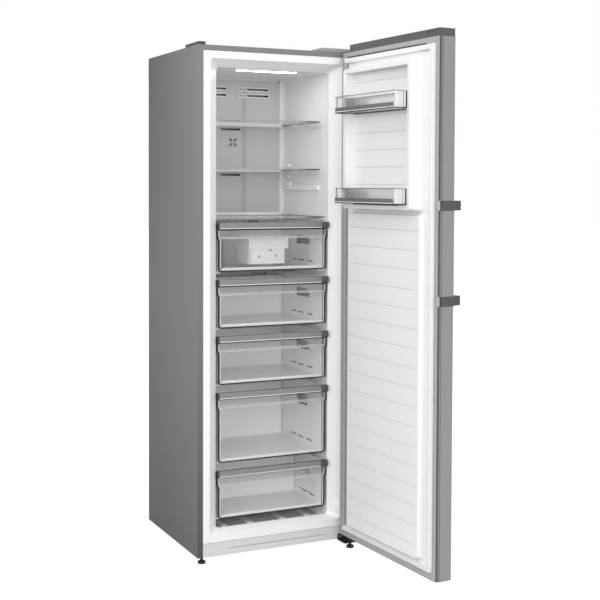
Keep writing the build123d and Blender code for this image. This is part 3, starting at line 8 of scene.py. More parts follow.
import json
import logging
from collections.abc import Callable, Sequence
from dataclasses import dataclass, field
from enum import Enum
from itertools import product
from math import cos, pi, radians, sin
from typing import ClassVar

import bmesh
import bpy
from bmesh.types import BMEdge, BMFace, BMVert
from mathutils import Euler, Matrix, Vector


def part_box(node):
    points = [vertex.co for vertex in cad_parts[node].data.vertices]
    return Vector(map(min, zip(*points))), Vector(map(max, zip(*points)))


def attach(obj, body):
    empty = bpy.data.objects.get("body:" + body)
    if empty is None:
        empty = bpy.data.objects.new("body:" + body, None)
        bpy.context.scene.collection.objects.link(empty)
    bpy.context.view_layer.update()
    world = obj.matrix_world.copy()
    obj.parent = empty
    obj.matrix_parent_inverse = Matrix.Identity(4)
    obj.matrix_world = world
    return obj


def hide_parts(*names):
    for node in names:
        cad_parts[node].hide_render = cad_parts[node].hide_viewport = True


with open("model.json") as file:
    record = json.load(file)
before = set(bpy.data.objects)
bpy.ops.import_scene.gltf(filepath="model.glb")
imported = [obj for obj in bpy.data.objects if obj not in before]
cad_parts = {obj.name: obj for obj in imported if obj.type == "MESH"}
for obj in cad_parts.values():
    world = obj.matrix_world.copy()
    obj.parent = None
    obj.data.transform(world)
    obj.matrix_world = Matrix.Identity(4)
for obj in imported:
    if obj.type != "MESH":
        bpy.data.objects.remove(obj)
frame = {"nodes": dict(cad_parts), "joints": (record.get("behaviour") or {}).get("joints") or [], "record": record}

LOG = logging.getLogger("freezer")
Span = tuple[float, float]
Box = tuple[Span, Span, Span]
Points = tuple[tuple[float, float], ...]
Floats = tuple[float, ...]
Row = tuple[float, float, int]
Maker = Callable[[], bpy.types.NodeTree]
Colour = tuple[float, float, float]
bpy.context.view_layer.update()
# Neighbouring faces that turn by less than this count as one flat patch.
FLAT = cos(radians(0.8))
# A face whose normal has more than this along an axis faces that way.
FACING = 0.8
# How far a raised detail sinks into its face, and the easings of hair lines and of small blocks.
SINK = 0.2
HAIR_EASE = 0.2
SMALL_EASE = 0.4


# ---- Spaces: where millimetres lie in the frame ----
def cabinet_space() -> Matrix:
    """The matrix from cabinet millimetres to the frame's metres."""
    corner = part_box("outer_shell")[0]
    return Matrix.Translation(corner) @ Matrix.Scale(0.001, 4)


def door_space() -> Matrix:
    """The matrix from closed-door millimetres to the open door in the frame."""
    joint = next(entry for entry in frame["joints"] if entry["name"] == "door_hinge")
    swing = Matrix.Rotation(radians(-joint["range_deg"][0]), 4, "Z")
    pin = cabinet_space().inverted() @ Vector(joint["pos_m"])
    pin.z = 0.0
    turned = Matrix.Translation(pin) @ swing @ Matrix.Translation(-pin)
    return cabinet_space() @ turned


CABINET = cabinet_space()
DOOR = door_space()


def middle(span: Span) -> float:
    """The middle of a span."""
    return (span[0] + span[1]) / 2


def around(centre: float, size: float) -> Span:
    """The span of a size about its centre."""
    return (centre - size / 2, centre + size / 2)


def drawn_in(span: Span, inset: float) -> Span:
    """A span made shorter by an inset at both ends."""
    return (span[0] + inset, span[1] - inset)


def outward(wall: float, way: float, size: float) -> Span:
    """The span of a size that starts at a wall and runs the way of +1 or -1."""
    return (min(wall, wall + way * size), max(wall, wall + way * size))


def proud(face: float, height: float, sink: float = SINK) -> Span:
    """The span in depth of a detail that stands in front of a face and sinks into it."""
    return (face - height, face + sink)


def row(start: float, pitch: float, count: int) -> list[float]:
    """The places of a row that starts there and goes on by a pitch."""
    return [start + index * pitch for index in range(count)]


def unit(axis: int) -> Vector:
    """The unit vector along axis 0, 1 or 2."""
    return Vector((float(axis == 0), float(axis == 1), float(axis == 2)))


def turned(axis: int) -> Matrix:
    """The matrix that turns what stands along z to lie along axis 0, 1 or 2."""
    turn = (Euler((0, pi / 2, 0)), Euler((-pi / 2, 0, 0)), Euler((0, 0, 0)))[axis]
    return turn.to_matrix().to_4x4()


def within(value: float, span: Span, slack: float = 0.01) -> bool:
    """Whether a value lies in a span, give or take a little slack."""
    return span[0] - slack <= value <= span[1] + slack


# ---- Node groups: effects that several finishes share ----
class Bench:
    """Lays nodes into one node tree and joins them up."""

    def __init__(self, tree: bpy.types.NodeTree) -> None:
        """Takes the tree to work on."""
        self.tree = tree

    def add(self, kind: str, **values: object) -> bpy.types.Node:
        """Adds a node and sets its sockets or properties.

        Args:
            kind: the node's type name.
            values: property names, or socket names with spaces as underscores, and their values.

        Returns:
            The new node.
        """
        node = self.tree.nodes.new(kind)
        for name, value in values.items():
            if hasattr(node, name):
                setattr(node, name, value)
            else:
                node.inputs[name.replace("_", " ")].default_value = value
        return node

    def join(self, source: bpy.types.NodeSocket, target: bpy.types.NodeSocket) -> None:
        """Links one socket to another."""
        self.tree.links.new(source, target)

    def maths(self, operation: str, first: object, second: object) -> bpy.types.NodeSocket:
        """Adds a Math node.

        Args:
            operation: the sum that the node works out.
            first: a socket or a number.
            second: a socket or a number.

        Returns:
            The node's value socket.
        """
        node = self.tree.nodes.new("ShaderNodeMath")
        node.operation = operation
        for slot, value in zip(node.inputs, (first, second)):
            if isinstance(value, bpy.types.NodeSocket):
                self.join(value, slot)
            else:
                slot.default_value = value
        return node.outputs[0]


NUMBER = "NodeSocketFloat"
VECTOR = "NodeSocketVector"
COLOUR = "NodeSocketColor"
ORIGIN = (0.0, 0.0, 0.0)


def new_group(
    name: str, inputs: dict[str, tuple[str, object]], outputs: dict[str, str]
) -> tuple[Bench, bpy.types.NodeOutputs, bpy.types.NodeInputs]:
    """Starts a shader node group with named sockets and a place to read from.

    Args:
        name: the group's name.
        inputs: for each input but the place its socket type and default value.
        outputs: for each output its socket type.

    Returns:
        A bench on the group's tree, the sockets it is given and the sockets it fills.
    """
    tree = bpy.data.node_groups.new(name, "ShaderNodeTree")
    for label, (kind, value) in {"Position": (VECTOR, ORIGIN), **inputs}.items():
        socket = tree.interface.new_socket(name=label, in_out="INPUT", socket_type=kind)
        socket.default_value = value
    for label, kind in outputs.items():
        tree.interface.new_socket(name=label, in_out="OUTPUT", socket_type=kind)
    bench = Bench(tree)
    return bench, bench.add("NodeGroupInput").outputs, bench.add("NodeGroupOutput").inputs


def moulding_grain() -> bpy.types.NodeTree:
    """Builds the fine grain of moulded or painted skins.

    Returns:
        A group that puts out a tinted colour, a roughness and a height.
    """
    bench, given, made = new_group(
        "moulding_grain",
        {
            "Tint": (COLOUR, (0.8, 0.8, 0.8, 1.0)),
            "Roughness": (NUMBER, 0.4),
            "Fineness": (NUMBER, 900.0),
            "Cloud": (NUMBER, 5.0),
            "Variation": (NUMBER, 0.03),
            "Sheen Change": (NUMBER, 0.06),
        },
        {"Colour": COLOUR, "Roughness": NUMBER, "Height": NUMBER},
    )
    fine = bench.add("ShaderNodeTexNoise", Detail=2.0, Roughness=0.55)
    broad = bench.add("ShaderNodeTexNoise", Detail=3.0, Roughness=0.6)
    for node, scale in ((fine, "Fineness"), (broad, "Cloud")):
        bench.join(given["Position"], node.inputs["Vector"])
        bench.join(given[scale], node.inputs["Scale"])
    swing = bench.maths("SUBTRACT", broad.outputs["Fac"], 0.5)
    grain = bench.maths("SUBTRACT", fine.outputs["Fac"], 0.5)
    both = bench.maths("ADD", swing, bench.maths("MULTIPLY", grain, 0.35))
    factor = bench.maths("ADD", bench.maths("MULTIPLY", both, given["Variation"]), 1.0)
    shade = bench.add("ShaderNodeVectorMath", operation="SCALE")
    bench.join(given["Tint"], shade.inputs[0])
    bench.join(factor, shade.inputs["Scale"])
    bench.join(shade.outputs[0], made["Colour"])
    change = bench.maths("MULTIPLY", both, given["Sheen Change"])
    bench.join(bench.maths("ADD", given["Roughness"], change), made["Roughness"])
    bench.join(fine.outputs["Fac"], made["Height"])
    return bench.tree


def drawn_lines() -> bpy.types.NodeTree:
    """Builds the fine parallel lines of rolled or brushed sheet.

    Returns:
        A group that puts out a factor for the colour and a height.
    """
    bench, given, made = new_group(
        "drawn_lines",
        {"Stretch": (VECTOR, (1.0, 1.0, 1.0)), "Amount": (NUMBER, 0.1)},
        {"Factor": NUMBER, "Height": NUMBER},
    )
    stretched = bench.add("ShaderNodeVectorMath", operation="MULTIPLY")
    bench.join(given["Position"], stretched.inputs[0])
    bench.join(given["Stretch"], stretched.inputs[1])
    lines = bench.add("ShaderNodeTexNoise", Scale=1.0, Detail=4.0, Roughness=0.7)
    bench.join(stretched.outputs[0], lines.inputs["Vector"])
    swing = bench.maths("SUBTRACT", lines.outputs["Fac"], 0.5)
    change = bench.maths("MULTIPLY", swing, given["Amount"])
    bench.join(bench.maths("ADD", change, 1.0), made["Factor"])
    bench.join(lines.outputs["Fac"], made["Height"])
    return bench.tree


def zinc_flowers() -> bpy.types.NodeTree:
    """Builds the crystal pattern of hot-dip zinc.

    Returns:
        A group that puts out a factor for the colour and a roughness change.
    """
    bench, given, made = new_group(
        "zinc_flowers",
        {"Size": (NUMBER, 60.0), "Contrast": (NUMBER, 0.2)},
        {"Factor": NUMBER, "Sheen Change": NUMBER},
    )
    cells = bench.add("ShaderNodeTexVoronoi", Randomness=1.0)
    bench.join(given["Position"], cells.inputs["Vector"])
    bench.join(given["Size"], cells.inputs["Scale"])
    split = bench.add("ShaderNodeSeparateColor")
    bench.join(cells.outputs["Color"], split.inputs[0])
    swing = bench.maths("SUBTRACT", split.outputs[0], 0.5)
    change = bench.maths("MULTIPLY", swing, given["Contrast"])
    bench.join(bench.maths("ADD", change, 1.0), made["Factor"])
    bench.join(change, made["Sheen Change"])
    return bench.tree


class SharedGroups:
    """The node groups, each built once when a finish first asks for it."""

    made: ClassVar[dict[Maker, bpy.types.NodeTree]] = {}

    @classmethod
    def get(cls, maker: Maker) -> bpy.types.NodeTree:
        """The group that a function builds."""
        if maker not in cls.made:
            cls.made[maker] = maker()
        return cls.made[maker]


# ---- Finishes ----
@dataclass(frozen=True)
class Finish:
    """One surface finish: its colour, gloss and the grain that shows on it.

    Lengths of the grain are per metre: a fineness of 900 is a grain of about 1 mm. The lines are noise that
    is stretched by three factors, the flowers are the contrast of zinc crystals, and fade_to is the colour
    that the tint runs over to along a piece's fade attribute.
    """

    shelf: ClassVar[dict[str, bpy.types.Material]] = {}

    name: str
    tint: Colour
    roughness: float = 0.4
    metallic: float = 0.0
    specular: float = 0.5
    coat: float = 0.0
    variation: float = 0.03
    sheen_change: float = 0.08
    fineness: float = 900.0
    cloud: float = 5.0
    bump: float = 0.06
    lines: Colour | None = None
    line_amount: float = 0.0
    line_bump: float = 0.0
    flowers: float = 0.0
    flower_size: float = 60.0
    glow: float = 0.0
    alpha: float = 1.0
    fade_to: Colour | None = None

    def material(self) -> bpy.types.Material:
        """The Blender material of this finish, built once.

        Returns:
            The material.
        """
        if self.name in self.shelf:
            return self.shelf[self.name]
        made = bpy.data.materials.new(f"finish_{self.name}")
        self.shelf[self.name] = made
        made.use_nodes = True
        made.node_tree.nodes.clear()
        bench = Bench(made.node_tree)
        skin = bench.add(
            "ShaderNodeBsdfPrincipled", Metallic=self.metallic, Specular_IOR_Level=self.specular,
            Coat_Weight=self.coat, Coat_Roughness=0.12, Alpha=self.alpha,
        )
        bench.join(skin.outputs[0], bench.add("ShaderNodeOutputMaterial").inputs[0])
        place = bench.add("ShaderNodeTexCoord").outputs["Object"]
        grain = self._group(
            bench, moulding_grain, place, Tint=(*self.tint, 1.0), Roughness=self.roughness,
            Fineness=self.fineness, Cloud=self.cloud, Variation=self.variation,
            Sheen_Change=self.sheen_change,
        )
        if self.fade_to is not None:
            self._fade(bench, grain)
        colour, roughness = grain.outputs["Colour"], grain.outputs["Roughness"]
        height = bench.maths("MULTIPLY", grain.outputs["Height"], self.bump)
        if self.lines is not None:
            brushed = self._group(
                bench, drawn_lines, place, Stretch=self.lines, Amount=self.line_amount
            )
            colour = self._scaled(bench, colour, brushed.outputs["Factor"])
            ridges = bench.maths("MULTIPLY", brushed.outputs["Height"], self.line_bump)
            height = bench.maths("ADD", height, ridges)
        if self.flowers:
            zinc = self._group(
                bench, zinc_flowers, place, Size=self.flower_size, Contrast=self.flowers
            )
            colour = self._scaled(bench, colour, zinc.outputs["Factor"])
            roughness = bench.maths("ADD", roughness, zinc.outputs["Sheen Change"])
        raised = bench.add("ShaderNodeBump", Strength=0.35, Distance=0.0004)
        bench.join(height, raised.inputs["Height"])
        bench.join(colour, skin.inputs["Base Color"])
        bench.join(roughness, skin.inputs["Roughness"])
        bench.join(raised.outputs[0], skin.inputs["Normal"])
        if self.glow:
            skin.inputs["Emission Color"].default_value = (*self.tint, 1.0)
            skin.inputs["Emission Strength"].default_value = self.glow
        made.diffuse_color = (*self.tint, self.alpha)
        return made

    def _group(
        self, bench: Bench, maker: Maker, place: bpy.types.NodeSocket, **values: object
    ) -> bpy.types.Node:
        """Places a shared group that reads the surface's place, with its own values."""
        node = bench.add("ShaderNodeGroup", node_tree=SharedGroups.get(maker), **values)
        bench.join(place, node.inputs["Position"])
        return node

    def _scaled(
        self, bench: Bench, colour: bpy.types.NodeSocket, factor: bpy.types.NodeSocket
    ) -> bpy.types.NodeSocket:
        """A colour made lighter or darker by a factor."""
        node = bench.add("ShaderNodeVectorMath", operation="SCALE")
        bench.join(colour, node.inputs[0])
        bench.join(factor, node.inputs["Scale"])
        return node.outputs[0]

    def _fade(self, bench: Bench, grain: bpy.types.Node) -> None:
        """Runs the tint over to a second colour along the piece's own fade attribute."""
        along = bench.add("ShaderNodeAttribute", attribute_name="fade")
        blend = bench.add("ShaderNodeMix", data_type="RGBA")
        blend.inputs[6].default_value = (*self.tint, 1.0)
        blend.inputs[7].default_value = (*self.fade_to, 1.0)
        bench.join(along.outputs["Fac"], blend.inputs[0])
        bench.join(blend.outputs[2], grain.inputs["Tint"])


def grey(level: float) -> Colour:
    """A neutral colour of that level."""
    return (level, level, level)


class Look(Enum):
    """Every finish on the freezer."""

    # Painted shade: the wrap's colour runs over to fade_to towards its foot and its back.
    SIDE_STEEL = Finish(
        "side_steel", (0.21, 0.211, 0.213), 0.45, 0.1, specular=0.3, fineness=1600.0, cloud=2.0, bump=0.03,
        lines=(260.0, 260.0, 3.0), line_amount=0.035, line_bump=0.05, fade_to=(0.034, 0.0345, 0.035),
    )
    DOOR_STEEL = Finish(
        "door_steel", (0.27, 0.271, 0.273), 0.38, 0.4, variation=0.02, fineness=1800.0, cloud=2.0,
        bump=0.03, lines=(700.0, 700.0, 4.0), line_amount=0.09, line_bump=0.12,
    )
    ZINC = Finish("zinc_sheet", (0.5, 0.51, 0.52), 0.42, 0.8, flowers=0.22, flower_size=55.0, cloud=3.0)
    FOAM = Finish("foam", (0.84, 0.79, 0.6), 0.9, variation=0.18, fineness=260.0, cloud=14.0, bump=0.9)
    LINER = Finish(
        "liner_white", (0.87, 0.874, 0.874), 0.3, coat=0.1, variation=0.012, fineness=1300.0, bump=0.05
    )
    DUCT = Finish("duct_white", (0.57, 0.574, 0.578), 0.4, variation=0.014, fineness=1500.0, bump=0.12)
    # Painted shade: the duct's grey running darker into the upright crease.
    DUCT_CREASE_SHADE = Finish(
        "duct_crease_shade", (0.57, 0.574, 0.578), 0.4, variation=0.014, fineness=1500.0, bump=0.12,
        fade_to=(0.45, 0.453, 0.457),
    )
    # Painted highlight: a white lighter than the liner's own, for white parts shown brighter than their colour.
    HIGHLIGHT_WHITE = Finish("highlight_white", (0.96, 0.962, 0.962), 0.3, coat=0.2, variation=0.01, bump=0.04)
    KICK = Finish("kick_white", (0.66, 0.662, 0.662), 0.4, variation=0.014, fineness=1200.0, bump=0.08)
    # White trim plastic, also used as a painted highlight on the grips' lower edges.
    WHITE_TRIM_AND_HIGHLIGHT = Finish("white_trim", (0.82, 0.822, 0.82), 0.36, variation=0.014, fineness=1200.0, bump=0.08)
    DARK_TRIM = Finish(
        "dark_trim", (0.05, 0.051, 0.053), 0.5, specular=0.35, variation=0.1, fineness=1100.0, bump=0.2
    )
    # Black plastic, also used as painted shade behind the vents.
    BLACK_AND_SHADE = Finish("black_plastic_and_shade", (0.012, 0.012, 0.013), 0.55, variation=0.1, bump=0.2)
    GREY_TRIM = Finish(
        "grey_trim", (0.085, 0.086, 0.088), 0.42, specular=0.4, variation=0.05, fineness=1200.0, bump=0.12
    )
    # The flange's own grey, also used as painted shade in the kick groove and on the seal's hinge-side run.
    FLANGE_GREY_AND_SHADE = Finish("flange_silver_and_shade", (0.4, 0.402, 0.406), 0.4, 0.15, fineness=1500.0, bump=0.1)
    SEAM_GREY = Finish("seam_grey", (0.07, 0.071, 0.073), 0.5, variation=0.05)
    # Painted shade: a grey for lines and grooves in the white liner.
    LINER_SHADE_LINE = Finish("liner_shade_line", (0.68, 0.685, 0.685), 0.4, variation=0.012, bump=0.05)
    HINGE_GREY = Finish("hinge_cover_grey", (0.29, 0.291, 0.293), 0.45, bump=0.06)
    CAP_SILVER = Finish(
        "cap_silver", (0.42, 0.422, 0.426), 0.4, 0.15, variation=0.04, fineness=1200.0, bump=0.1
    )
    LAMP = Finish("lamp_lens", (1.0, 1.0, 1.0), 0.25, glow=15.0, variation=0.01)
    COIL = Finish(
        "coil_aluminium", (0.72, 0.73, 0.74), 0.34, 0.9, lines=(8.0, 900.0, 900.0), line_amount=0.12
    )
    HEATER = Finish("heater_tube", (0.6, 0.6, 0.61), 0.2, 1.0, variation=0.05)
    COMPRESSOR = Finish(
        "compressor_black", (0.02, 0.02, 0.021), 0.32, coat=0.4, variation=0.15, fineness=500.0, bump=0.7
    )
    RUBBER = Finish("rubber_black", (0.025, 0.025, 0.026), 0.75, variation=0.16, fineness=700.0, bump=0.5)
    SCREW = Finish("screw_steel", (0.62, 0.62, 0.63), 0.26, 1.0, variation=0.06)
    GASKET = Finish("gasket_white", (0.83, 0.832, 0.835), 0.55, variation=0.02, fineness=800.0, bump=0.15)
    HANDLE = Finish(
        "handle_aluminium", (0.4, 0.402, 0.405), 0.4, 0.25, variation=0.02, fineness=1500.0,
        lines=(500.0, 500.0, 4.0), line_amount=0.05, line_bump=0.05,
    )
    BRACKET = Finish(
        "bracket_grey", (0.08, 0.081, 0.083), 0.4, 0.35, variation=0.05, fineness=1400.0, bump=0.1
    )
    CLEAR = Finish("clear_plastic", (0.9, 0.903, 0.906), 0.1, variation=0.02, bump=0.02, alpha=0.05)
    TUB = Finish("tub_plastic", (0.94, 0.943, 0.944), 0.2, variation=0.02, bump=0.03, alpha=0.88)
    # Painted highlight on clear plastic.
    TUB_GLEAM = Finish("tub_gleam", (0.97, 0.972, 0.972), 0.2, variation=0.01, bump=0.02, alpha=0.92)
    # Painted shade on clear plastic.
    TUB_SHADE = Finish("tub_shade", (0.36, 0.362, 0.366), 0.2, variation=0.02, bump=0.02, alpha=0.85)
    HEAD = Finish("panel_head", (0.4, 0.403, 0.406), 0.15, variation=0.02, bump=0.02, alpha=0.2)
    BIN = Finish("bin_plastic", (0.72, 0.723, 0.726), 0.12, variation=0.02, bump=0.02, alpha=0.1)
    BIN_EDGE = Finish("bin_edge", (0.1, 0.101, 0.103), 0.2, bump=0.02, alpha=0.85)
    # A black for dark seam lines, also used as painted shade.
    DARK_LINE_AND_SHADE = Finish("dark_line_and_shade", (0.012, 0.012, 0.013), 0.35, specular=0.3, variation=0.04, bump=0.02)
    # Painted highlight on the edges and rims of clear plastic.
    CLEAR_HIGHLIGHT = Finish("clear_highlight", (0.8, 0.805, 0.81), 0.2, bump=0.02, alpha=0.7)
    # Painted shade: a dark line where shade falls.
    PAINTED_SHADE_LINE = Finish("painted_shade_line", (0.05, 0.051, 0.053), 0.3, specular=0.3, variation=0.06, bump=0.04)
    SMOKE_BAND = Finish("smoke_band", (0.17, 0.172, 0.175), 0.22, alpha=0.8)
    GLASS = Finish("shelf_glass", (0.86, 0.872, 0.87), 0.06, variation=0.02, bump=0.0, alpha=0.36)
    # Painted shade: the glass edges run darker towards the right along fade.
    GLASS_EDGE = Finish(
        "glass_edge", (0.4, 0.41, 0.41), 0.2, variation=0.04, bump=0.0, fade_to=(0.05, 0.054, 0.054)
    )
    GRIP = Finish("grip_grey", (0.225, 0.226, 0.228), 0.4, 0.1, fineness=1300.0, bump=0.1)
    # Painted shade: the grip's grey darkened for its top face.
    GRIP_TOP_SHADE = Finish("grip_top_shade", (0.19, 0.191, 0.194), 0.42, 0.1, fineness=1300.0, bump=0.1)
    GRIP_CAP = Finish(
        "grip_cap_grey", (0.09, 0.091, 0.093), 0.42, 0.1, variation=0.05, fineness=1300.0, bump=0.1
    )
    SLOT = Finish(
        "slot_shade", (0.22, 0.222, 0.226), 0.6, specular=0.2, variation=0.05, fade_to=(0.01, 0.01, 0.011)
    )
    # Painted shade on the liner floor and painted highlight on its rib tops.
    FLOOR_SHADE = Finish("floor_painted_shade", (0.56, 0.561, 0.564), 0.5, bump=0.2)
    RIB_HIGHLIGHT = Finish("rib_highlight", (0.84, 0.842, 0.845), 0.45, bump=0.2)
    ICE_WHITE = Finish("ice_white", (0.86, 0.862, 0.862), 0.3, variation=0.012, bump=0.05)

    def material(self) -> bpy.types.Material:
        """The Blender material of this finish."""
        return self.value.material()


NODE_LOOKS: dict[str, Look] = {
    "steel": Look.SIDE_STEEL,
    "zinc_sheet": Look.ZINC,
    "foam": Look.FOAM,
    "liner": Look.LINER,
    "white_trim": Look.WHITE_TRIM_AND_HIGHLIGHT,
    "dark_trim": Look.DARK_TRIM,
    "grey_trim": Look.GREY_TRIM,
    "lamp": Look.LAMP,
    "coil": Look.COIL,
    "heater": Look.HEATER,
    "compressor_paint": Look.COMPRESSOR,
    "rubber": Look.RUBBER,
    "screw_steel": Look.SCREW,
    "gasket": Look.GASKET,
    "handle_metal": Look.HANDLE,
    "bracket_metal": Look.BRACKET,
    "clear_plastic": Look.CLEAR,
    "shelf_glass": Look.GLASS,
    "grip_plastic": Look.GRIP,
}


# ---- Shapes ----
def placed(name: str, data: bpy.types.ID | None) -> bpy.types.Object:
    """A new object with that data, put into the scene."""
    made = bpy.data.objects.new(name, data)
    bpy.context.scene.collection.objects.link(made)
    return made


class Shape:
    """A bmesh in millimetres that grows by bmesh operators and becomes one finished piece."""

    def __init__(self, space: Matrix = CABINET, body: str = "cabinet") -> None:
        """Starts an empty shape.

        Args:
            space: the matrix from the shape's millimetres to the frame.
            body: the CAD body that the piece will ride on.
        """
        self.space = space
        self.body = body
        self.bm = bmesh.new()

    def block(self, x: Span, y: Span, z: Span, ease: float = 0.0) -> None:
        """Adds a box, its edges eased.

        Args:
            x: its span across.
            y: its span in depth.
            z: its span in height.
            ease: the width of its eased edges, or 0.
        """
        verts = bmesh.ops.create_cube(self.bm, size=1.0)["verts"]
        bmesh.ops.scale(self.bm, vec=(x[1] - x[0], y[1] - y[0], z[1] - z[0]), verts=verts)
        bmesh.ops.translate(self.bm, vec=(middle(x), middle(y), middle(z)), verts=verts)
        if ease:
            known = set(verts)
            edges = [edge for edge in self.bm.edges if known.issuperset(edge.verts)]
            self.bevel(edges, ease)

    def rounded_block(
        self, x: Span, y: Span, z: Span, along: int, radius: float, ease: float = 0.0, segments: int = 5
    ) -> None:
        """Adds a box whose four edges along one axis are rounded, and its other edges eased.

        Args:
            x: its span across.
            y: its span in depth.
            z: its span in height.
            along: the axis that the rounded edges run along, 0, 1 or 2.
            radius: the radius of the rounded edges.
            ease: the width of the other edges' easing, or 0.
            segments: how many facets a rounded edge has.
        """
        before = set(self.bm.edges)
        self.block(x, y, z)
        new = [edge for edge in self.bm.edges if edge not in before]
        self.bevel([edge for edge in new if self.slant(edge, along) > 0.9], radius, segments)
        if ease:
            new = [edge for edge in self.bm.edges if edge not in before]
            level = [edge for edge in new if self.slant(edge, along) < 0.1]
            self.bevel([edge for edge in level if edge.calc_face_angle(0.0) > radians(60)], ease)

    def rod(
        self, radius: float, axis: int, centre: Sequence[float], length: float, segments: int = 32
    ) -> list[BMVert]:
        """Adds a round bar.

        Args:
            radius: its radius.
            axis: the axis that it runs along, 0, 1 or 2.
            centre: its middle.
            length: its length.
            segments: how many sides it has.

        Returns:
            Its vertices.
        """
        made = bmesh.ops.create_cone(
            self.bm, cap_ends=True, segments=segments, radius1=radius, radius2=radius, depth=length,
            matrix=Matrix.Translation(centre) @ turned(axis),
        )
        return made["verts"]

    def spun(self, profile: Points, foot: Sequence[float]) -> None:
        """Adds a solid turned about an upright axis.

        Args:
            profile: points of radius and height, from the axis at the bottom to the axis at the top.
            foot: where the axis starts.
        """
        verts = [self.bm.verts.new((radius, 0.0, height)) for radius, height in profile]
        edges = [self.bm.edges.new(pair) for pair in zip(verts, verts[1:])]
        made = bmesh.ops.spin(
            self.bm, geom=verts + edges, cent=ORIGIN, axis=(0, 0, 1), angle=2 * pi, steps=32, use_merge=True
        )
        found = {vert for vert in made["geom_last"] if isinstance(vert, BMVert)} | set(verts)
        bmesh.ops.translate(self.bm, vec=foot, verts=list(self.island(found)))

    def prism(
        self, outline: Sequence[Span], axis: int, span: Span, rounds: dict[int, float] | None = None
    ) -> list[BMFace]:
        """Adds a solid of one outline.

        Args:
            outline: its corner points, in the two axes that are left, in order.
            axis: the axis that it is drawn out along, 0, 1 or 2.
            span: where it starts and ends on that axis.
            rounds: the corners that are rounded, by their number, and their radius.

        Returns:
            Its faces.
        """
        known = set(self.bm.faces)
        verts = []
        for point in outline:
            place = list(point)
            place.insert(axis, span[0])
            verts.append(self.bm.verts.new(place))
        self.bm.faces.new(verts)
        for index, radius in (rounds or {}).items():
            bmesh.ops.bevel(
                self.bm, geom=[verts[index]], offset=radius, offset_type="OFFSET", segments=6,
                profile=0.5, affect="VERTICES", clamp_overlap=True, material=-1,
            )
        face = next(one for one in self.bm.faces if one not in known)
        made = bmesh.ops.extrude_face_region(self.bm, geom=[face])
        moved = [part for part in made["geom"] if isinstance(part, BMVert)]
        bmesh.ops.translate(self.bm, vec=unit(axis) * (span[1] - span[0]), verts=moved)
        found = [one for one in self.bm.faces if set(one.verts) & self.island(set(moved))]
        bmesh.ops.recalc_face_normals(self.bm, faces=found)
        return found

    def band(
        self, outline: Sequence[Span], axis: int, span: Span, width: float, rounds: dict[int, float]
    ) -> None:
        """Adds a closed frame: an outline drawn out along an axis, with its middle taken out.

        Args:
            outline: its outer corner points, in the two axes that are left, in order.
            axis: the axis that it is drawn out along, 0, 1 or 2.
            span: where it starts and ends on that axis.
            width: how wide the frame is.
            rounds: the corners that are rounded, by their number, and their radius.
        """
        faces = self.prism(outline, axis, span, rounds)
        ends = [face for face in faces if abs(face.normal[axis]) > 0.9]
        bmesh.ops.inset_region(self.bm, faces=ends, thickness=width, use_even_offset=True)
        bmesh.ops.delete(self.bm, geom=ends, context="FACES_ONLY")
        bmesh.ops.bridge_loops(self.bm, edges=[edge for edge in self.bm.edges if edge.is_boundary])

    def island(self, seeds: set[BMVert]) -> set[BMVert]:
        """Every vertex that hangs together with the seeds."""
        found, waiting = set(seeds), list(seeds)
        while waiting:
            for edge in waiting.pop().link_edges:
                for vert in edge.verts:
                    if vert not in found:
                        found.add(vert)
                        waiting.append(vert)
        return found

    def slant(self, edge: BMEdge, axis: int) -> float:
        """How much an edge runs along an axis: 1 along it and 0 across it."""
        return abs((edge.verts[1].co - edge.verts[0].co).normalized().dot(unit(axis)))

    def bevel(self, edges: Sequence[BMEdge], width: float, segments: int = 2) -> None:
        """Eases edges.

        Args:
            edges: the edges to ease.
            width: how wide the easing is.
            segments: how many facets it has.
        """
        bmesh.ops.bevel(
            self.bm, geom=list(edges), offset=width, offset_type="OFFSET", segments=segments, profile=0.5,
            affect="EDGES", clamp_overlap=True, material=-1,
        )

    def sharp_edges(self, angle: float = 35.0) -> list[BMEdge]:
        """The closed edges that turn by more than an angle in degrees."""
        return [
            edge for edge in self.bm.edges
            if len(edge.link_faces) == 2 and edge.calc_face_angle(0.0) > radians(angle)
        ]

    def paint(self, number: int, chosen: Callable[[Vector, Vector], bool]) -> None:
        """Gives faces another material slot.

        Args:
            number: the slot's number.
            chosen: says from a face's middle and normal, in millimetres, whether it is painted.
        """
        for face in self.bm.faces:
            if chosen(face.calc_center_median(), face.normal):
                face.material_index = number

    def cut(self, axis: int, level: float) -> None:
        """Cuts the faces where a plane crosses them, so that each side can take its own paint.

        Args:
            axis: the plane's normal axis.
            level: the plane's place along that axis.
        """
        normal = unit(axis)
        everything = [*self.bm.verts, *self.bm.edges, *self.bm.faces]
        bmesh.ops.bisect_plane(self.bm, geom=everything, dist=1e-5, plane_co=normal * level, plane_no=normal)

    def fade(self, amount: Callable[[Vector], float]) -> None:
        """Sets how far each vertex's colour has run over to its finish's second colour.

        Args:
            amount: gives that share, from 0 to 1, from the vertex's place in millimetres.
        """
        layer = self.bm.verts.layers.float.get("fade") or self.bm.verts.layers.float.new("fade")
        for vert in self.bm.verts:
            vert[layer] = max(0.0, min(1.0, amount(vert.co)))

    def flat_areas(self) -> dict[BMFace, float]:
        """The whole area of the flat patch that each face belongs to."""
        areas: dict[BMFace, float] = {}
        for seed in self.bm.faces:
            if seed in areas:
                continue
            patch, waiting = {seed}, [seed]
            while waiting:
                for edge in waiting.pop().edges:
                    for face in edge.link_faces:
                        if face not in patch and face.normal.dot(seed.normal) > FLAT:
                            patch.add(face)
                            waiting.append(face)
            total = sum(face.calc_area() for face in patch)
            areas.update({face: total for face in patch})
        return areas

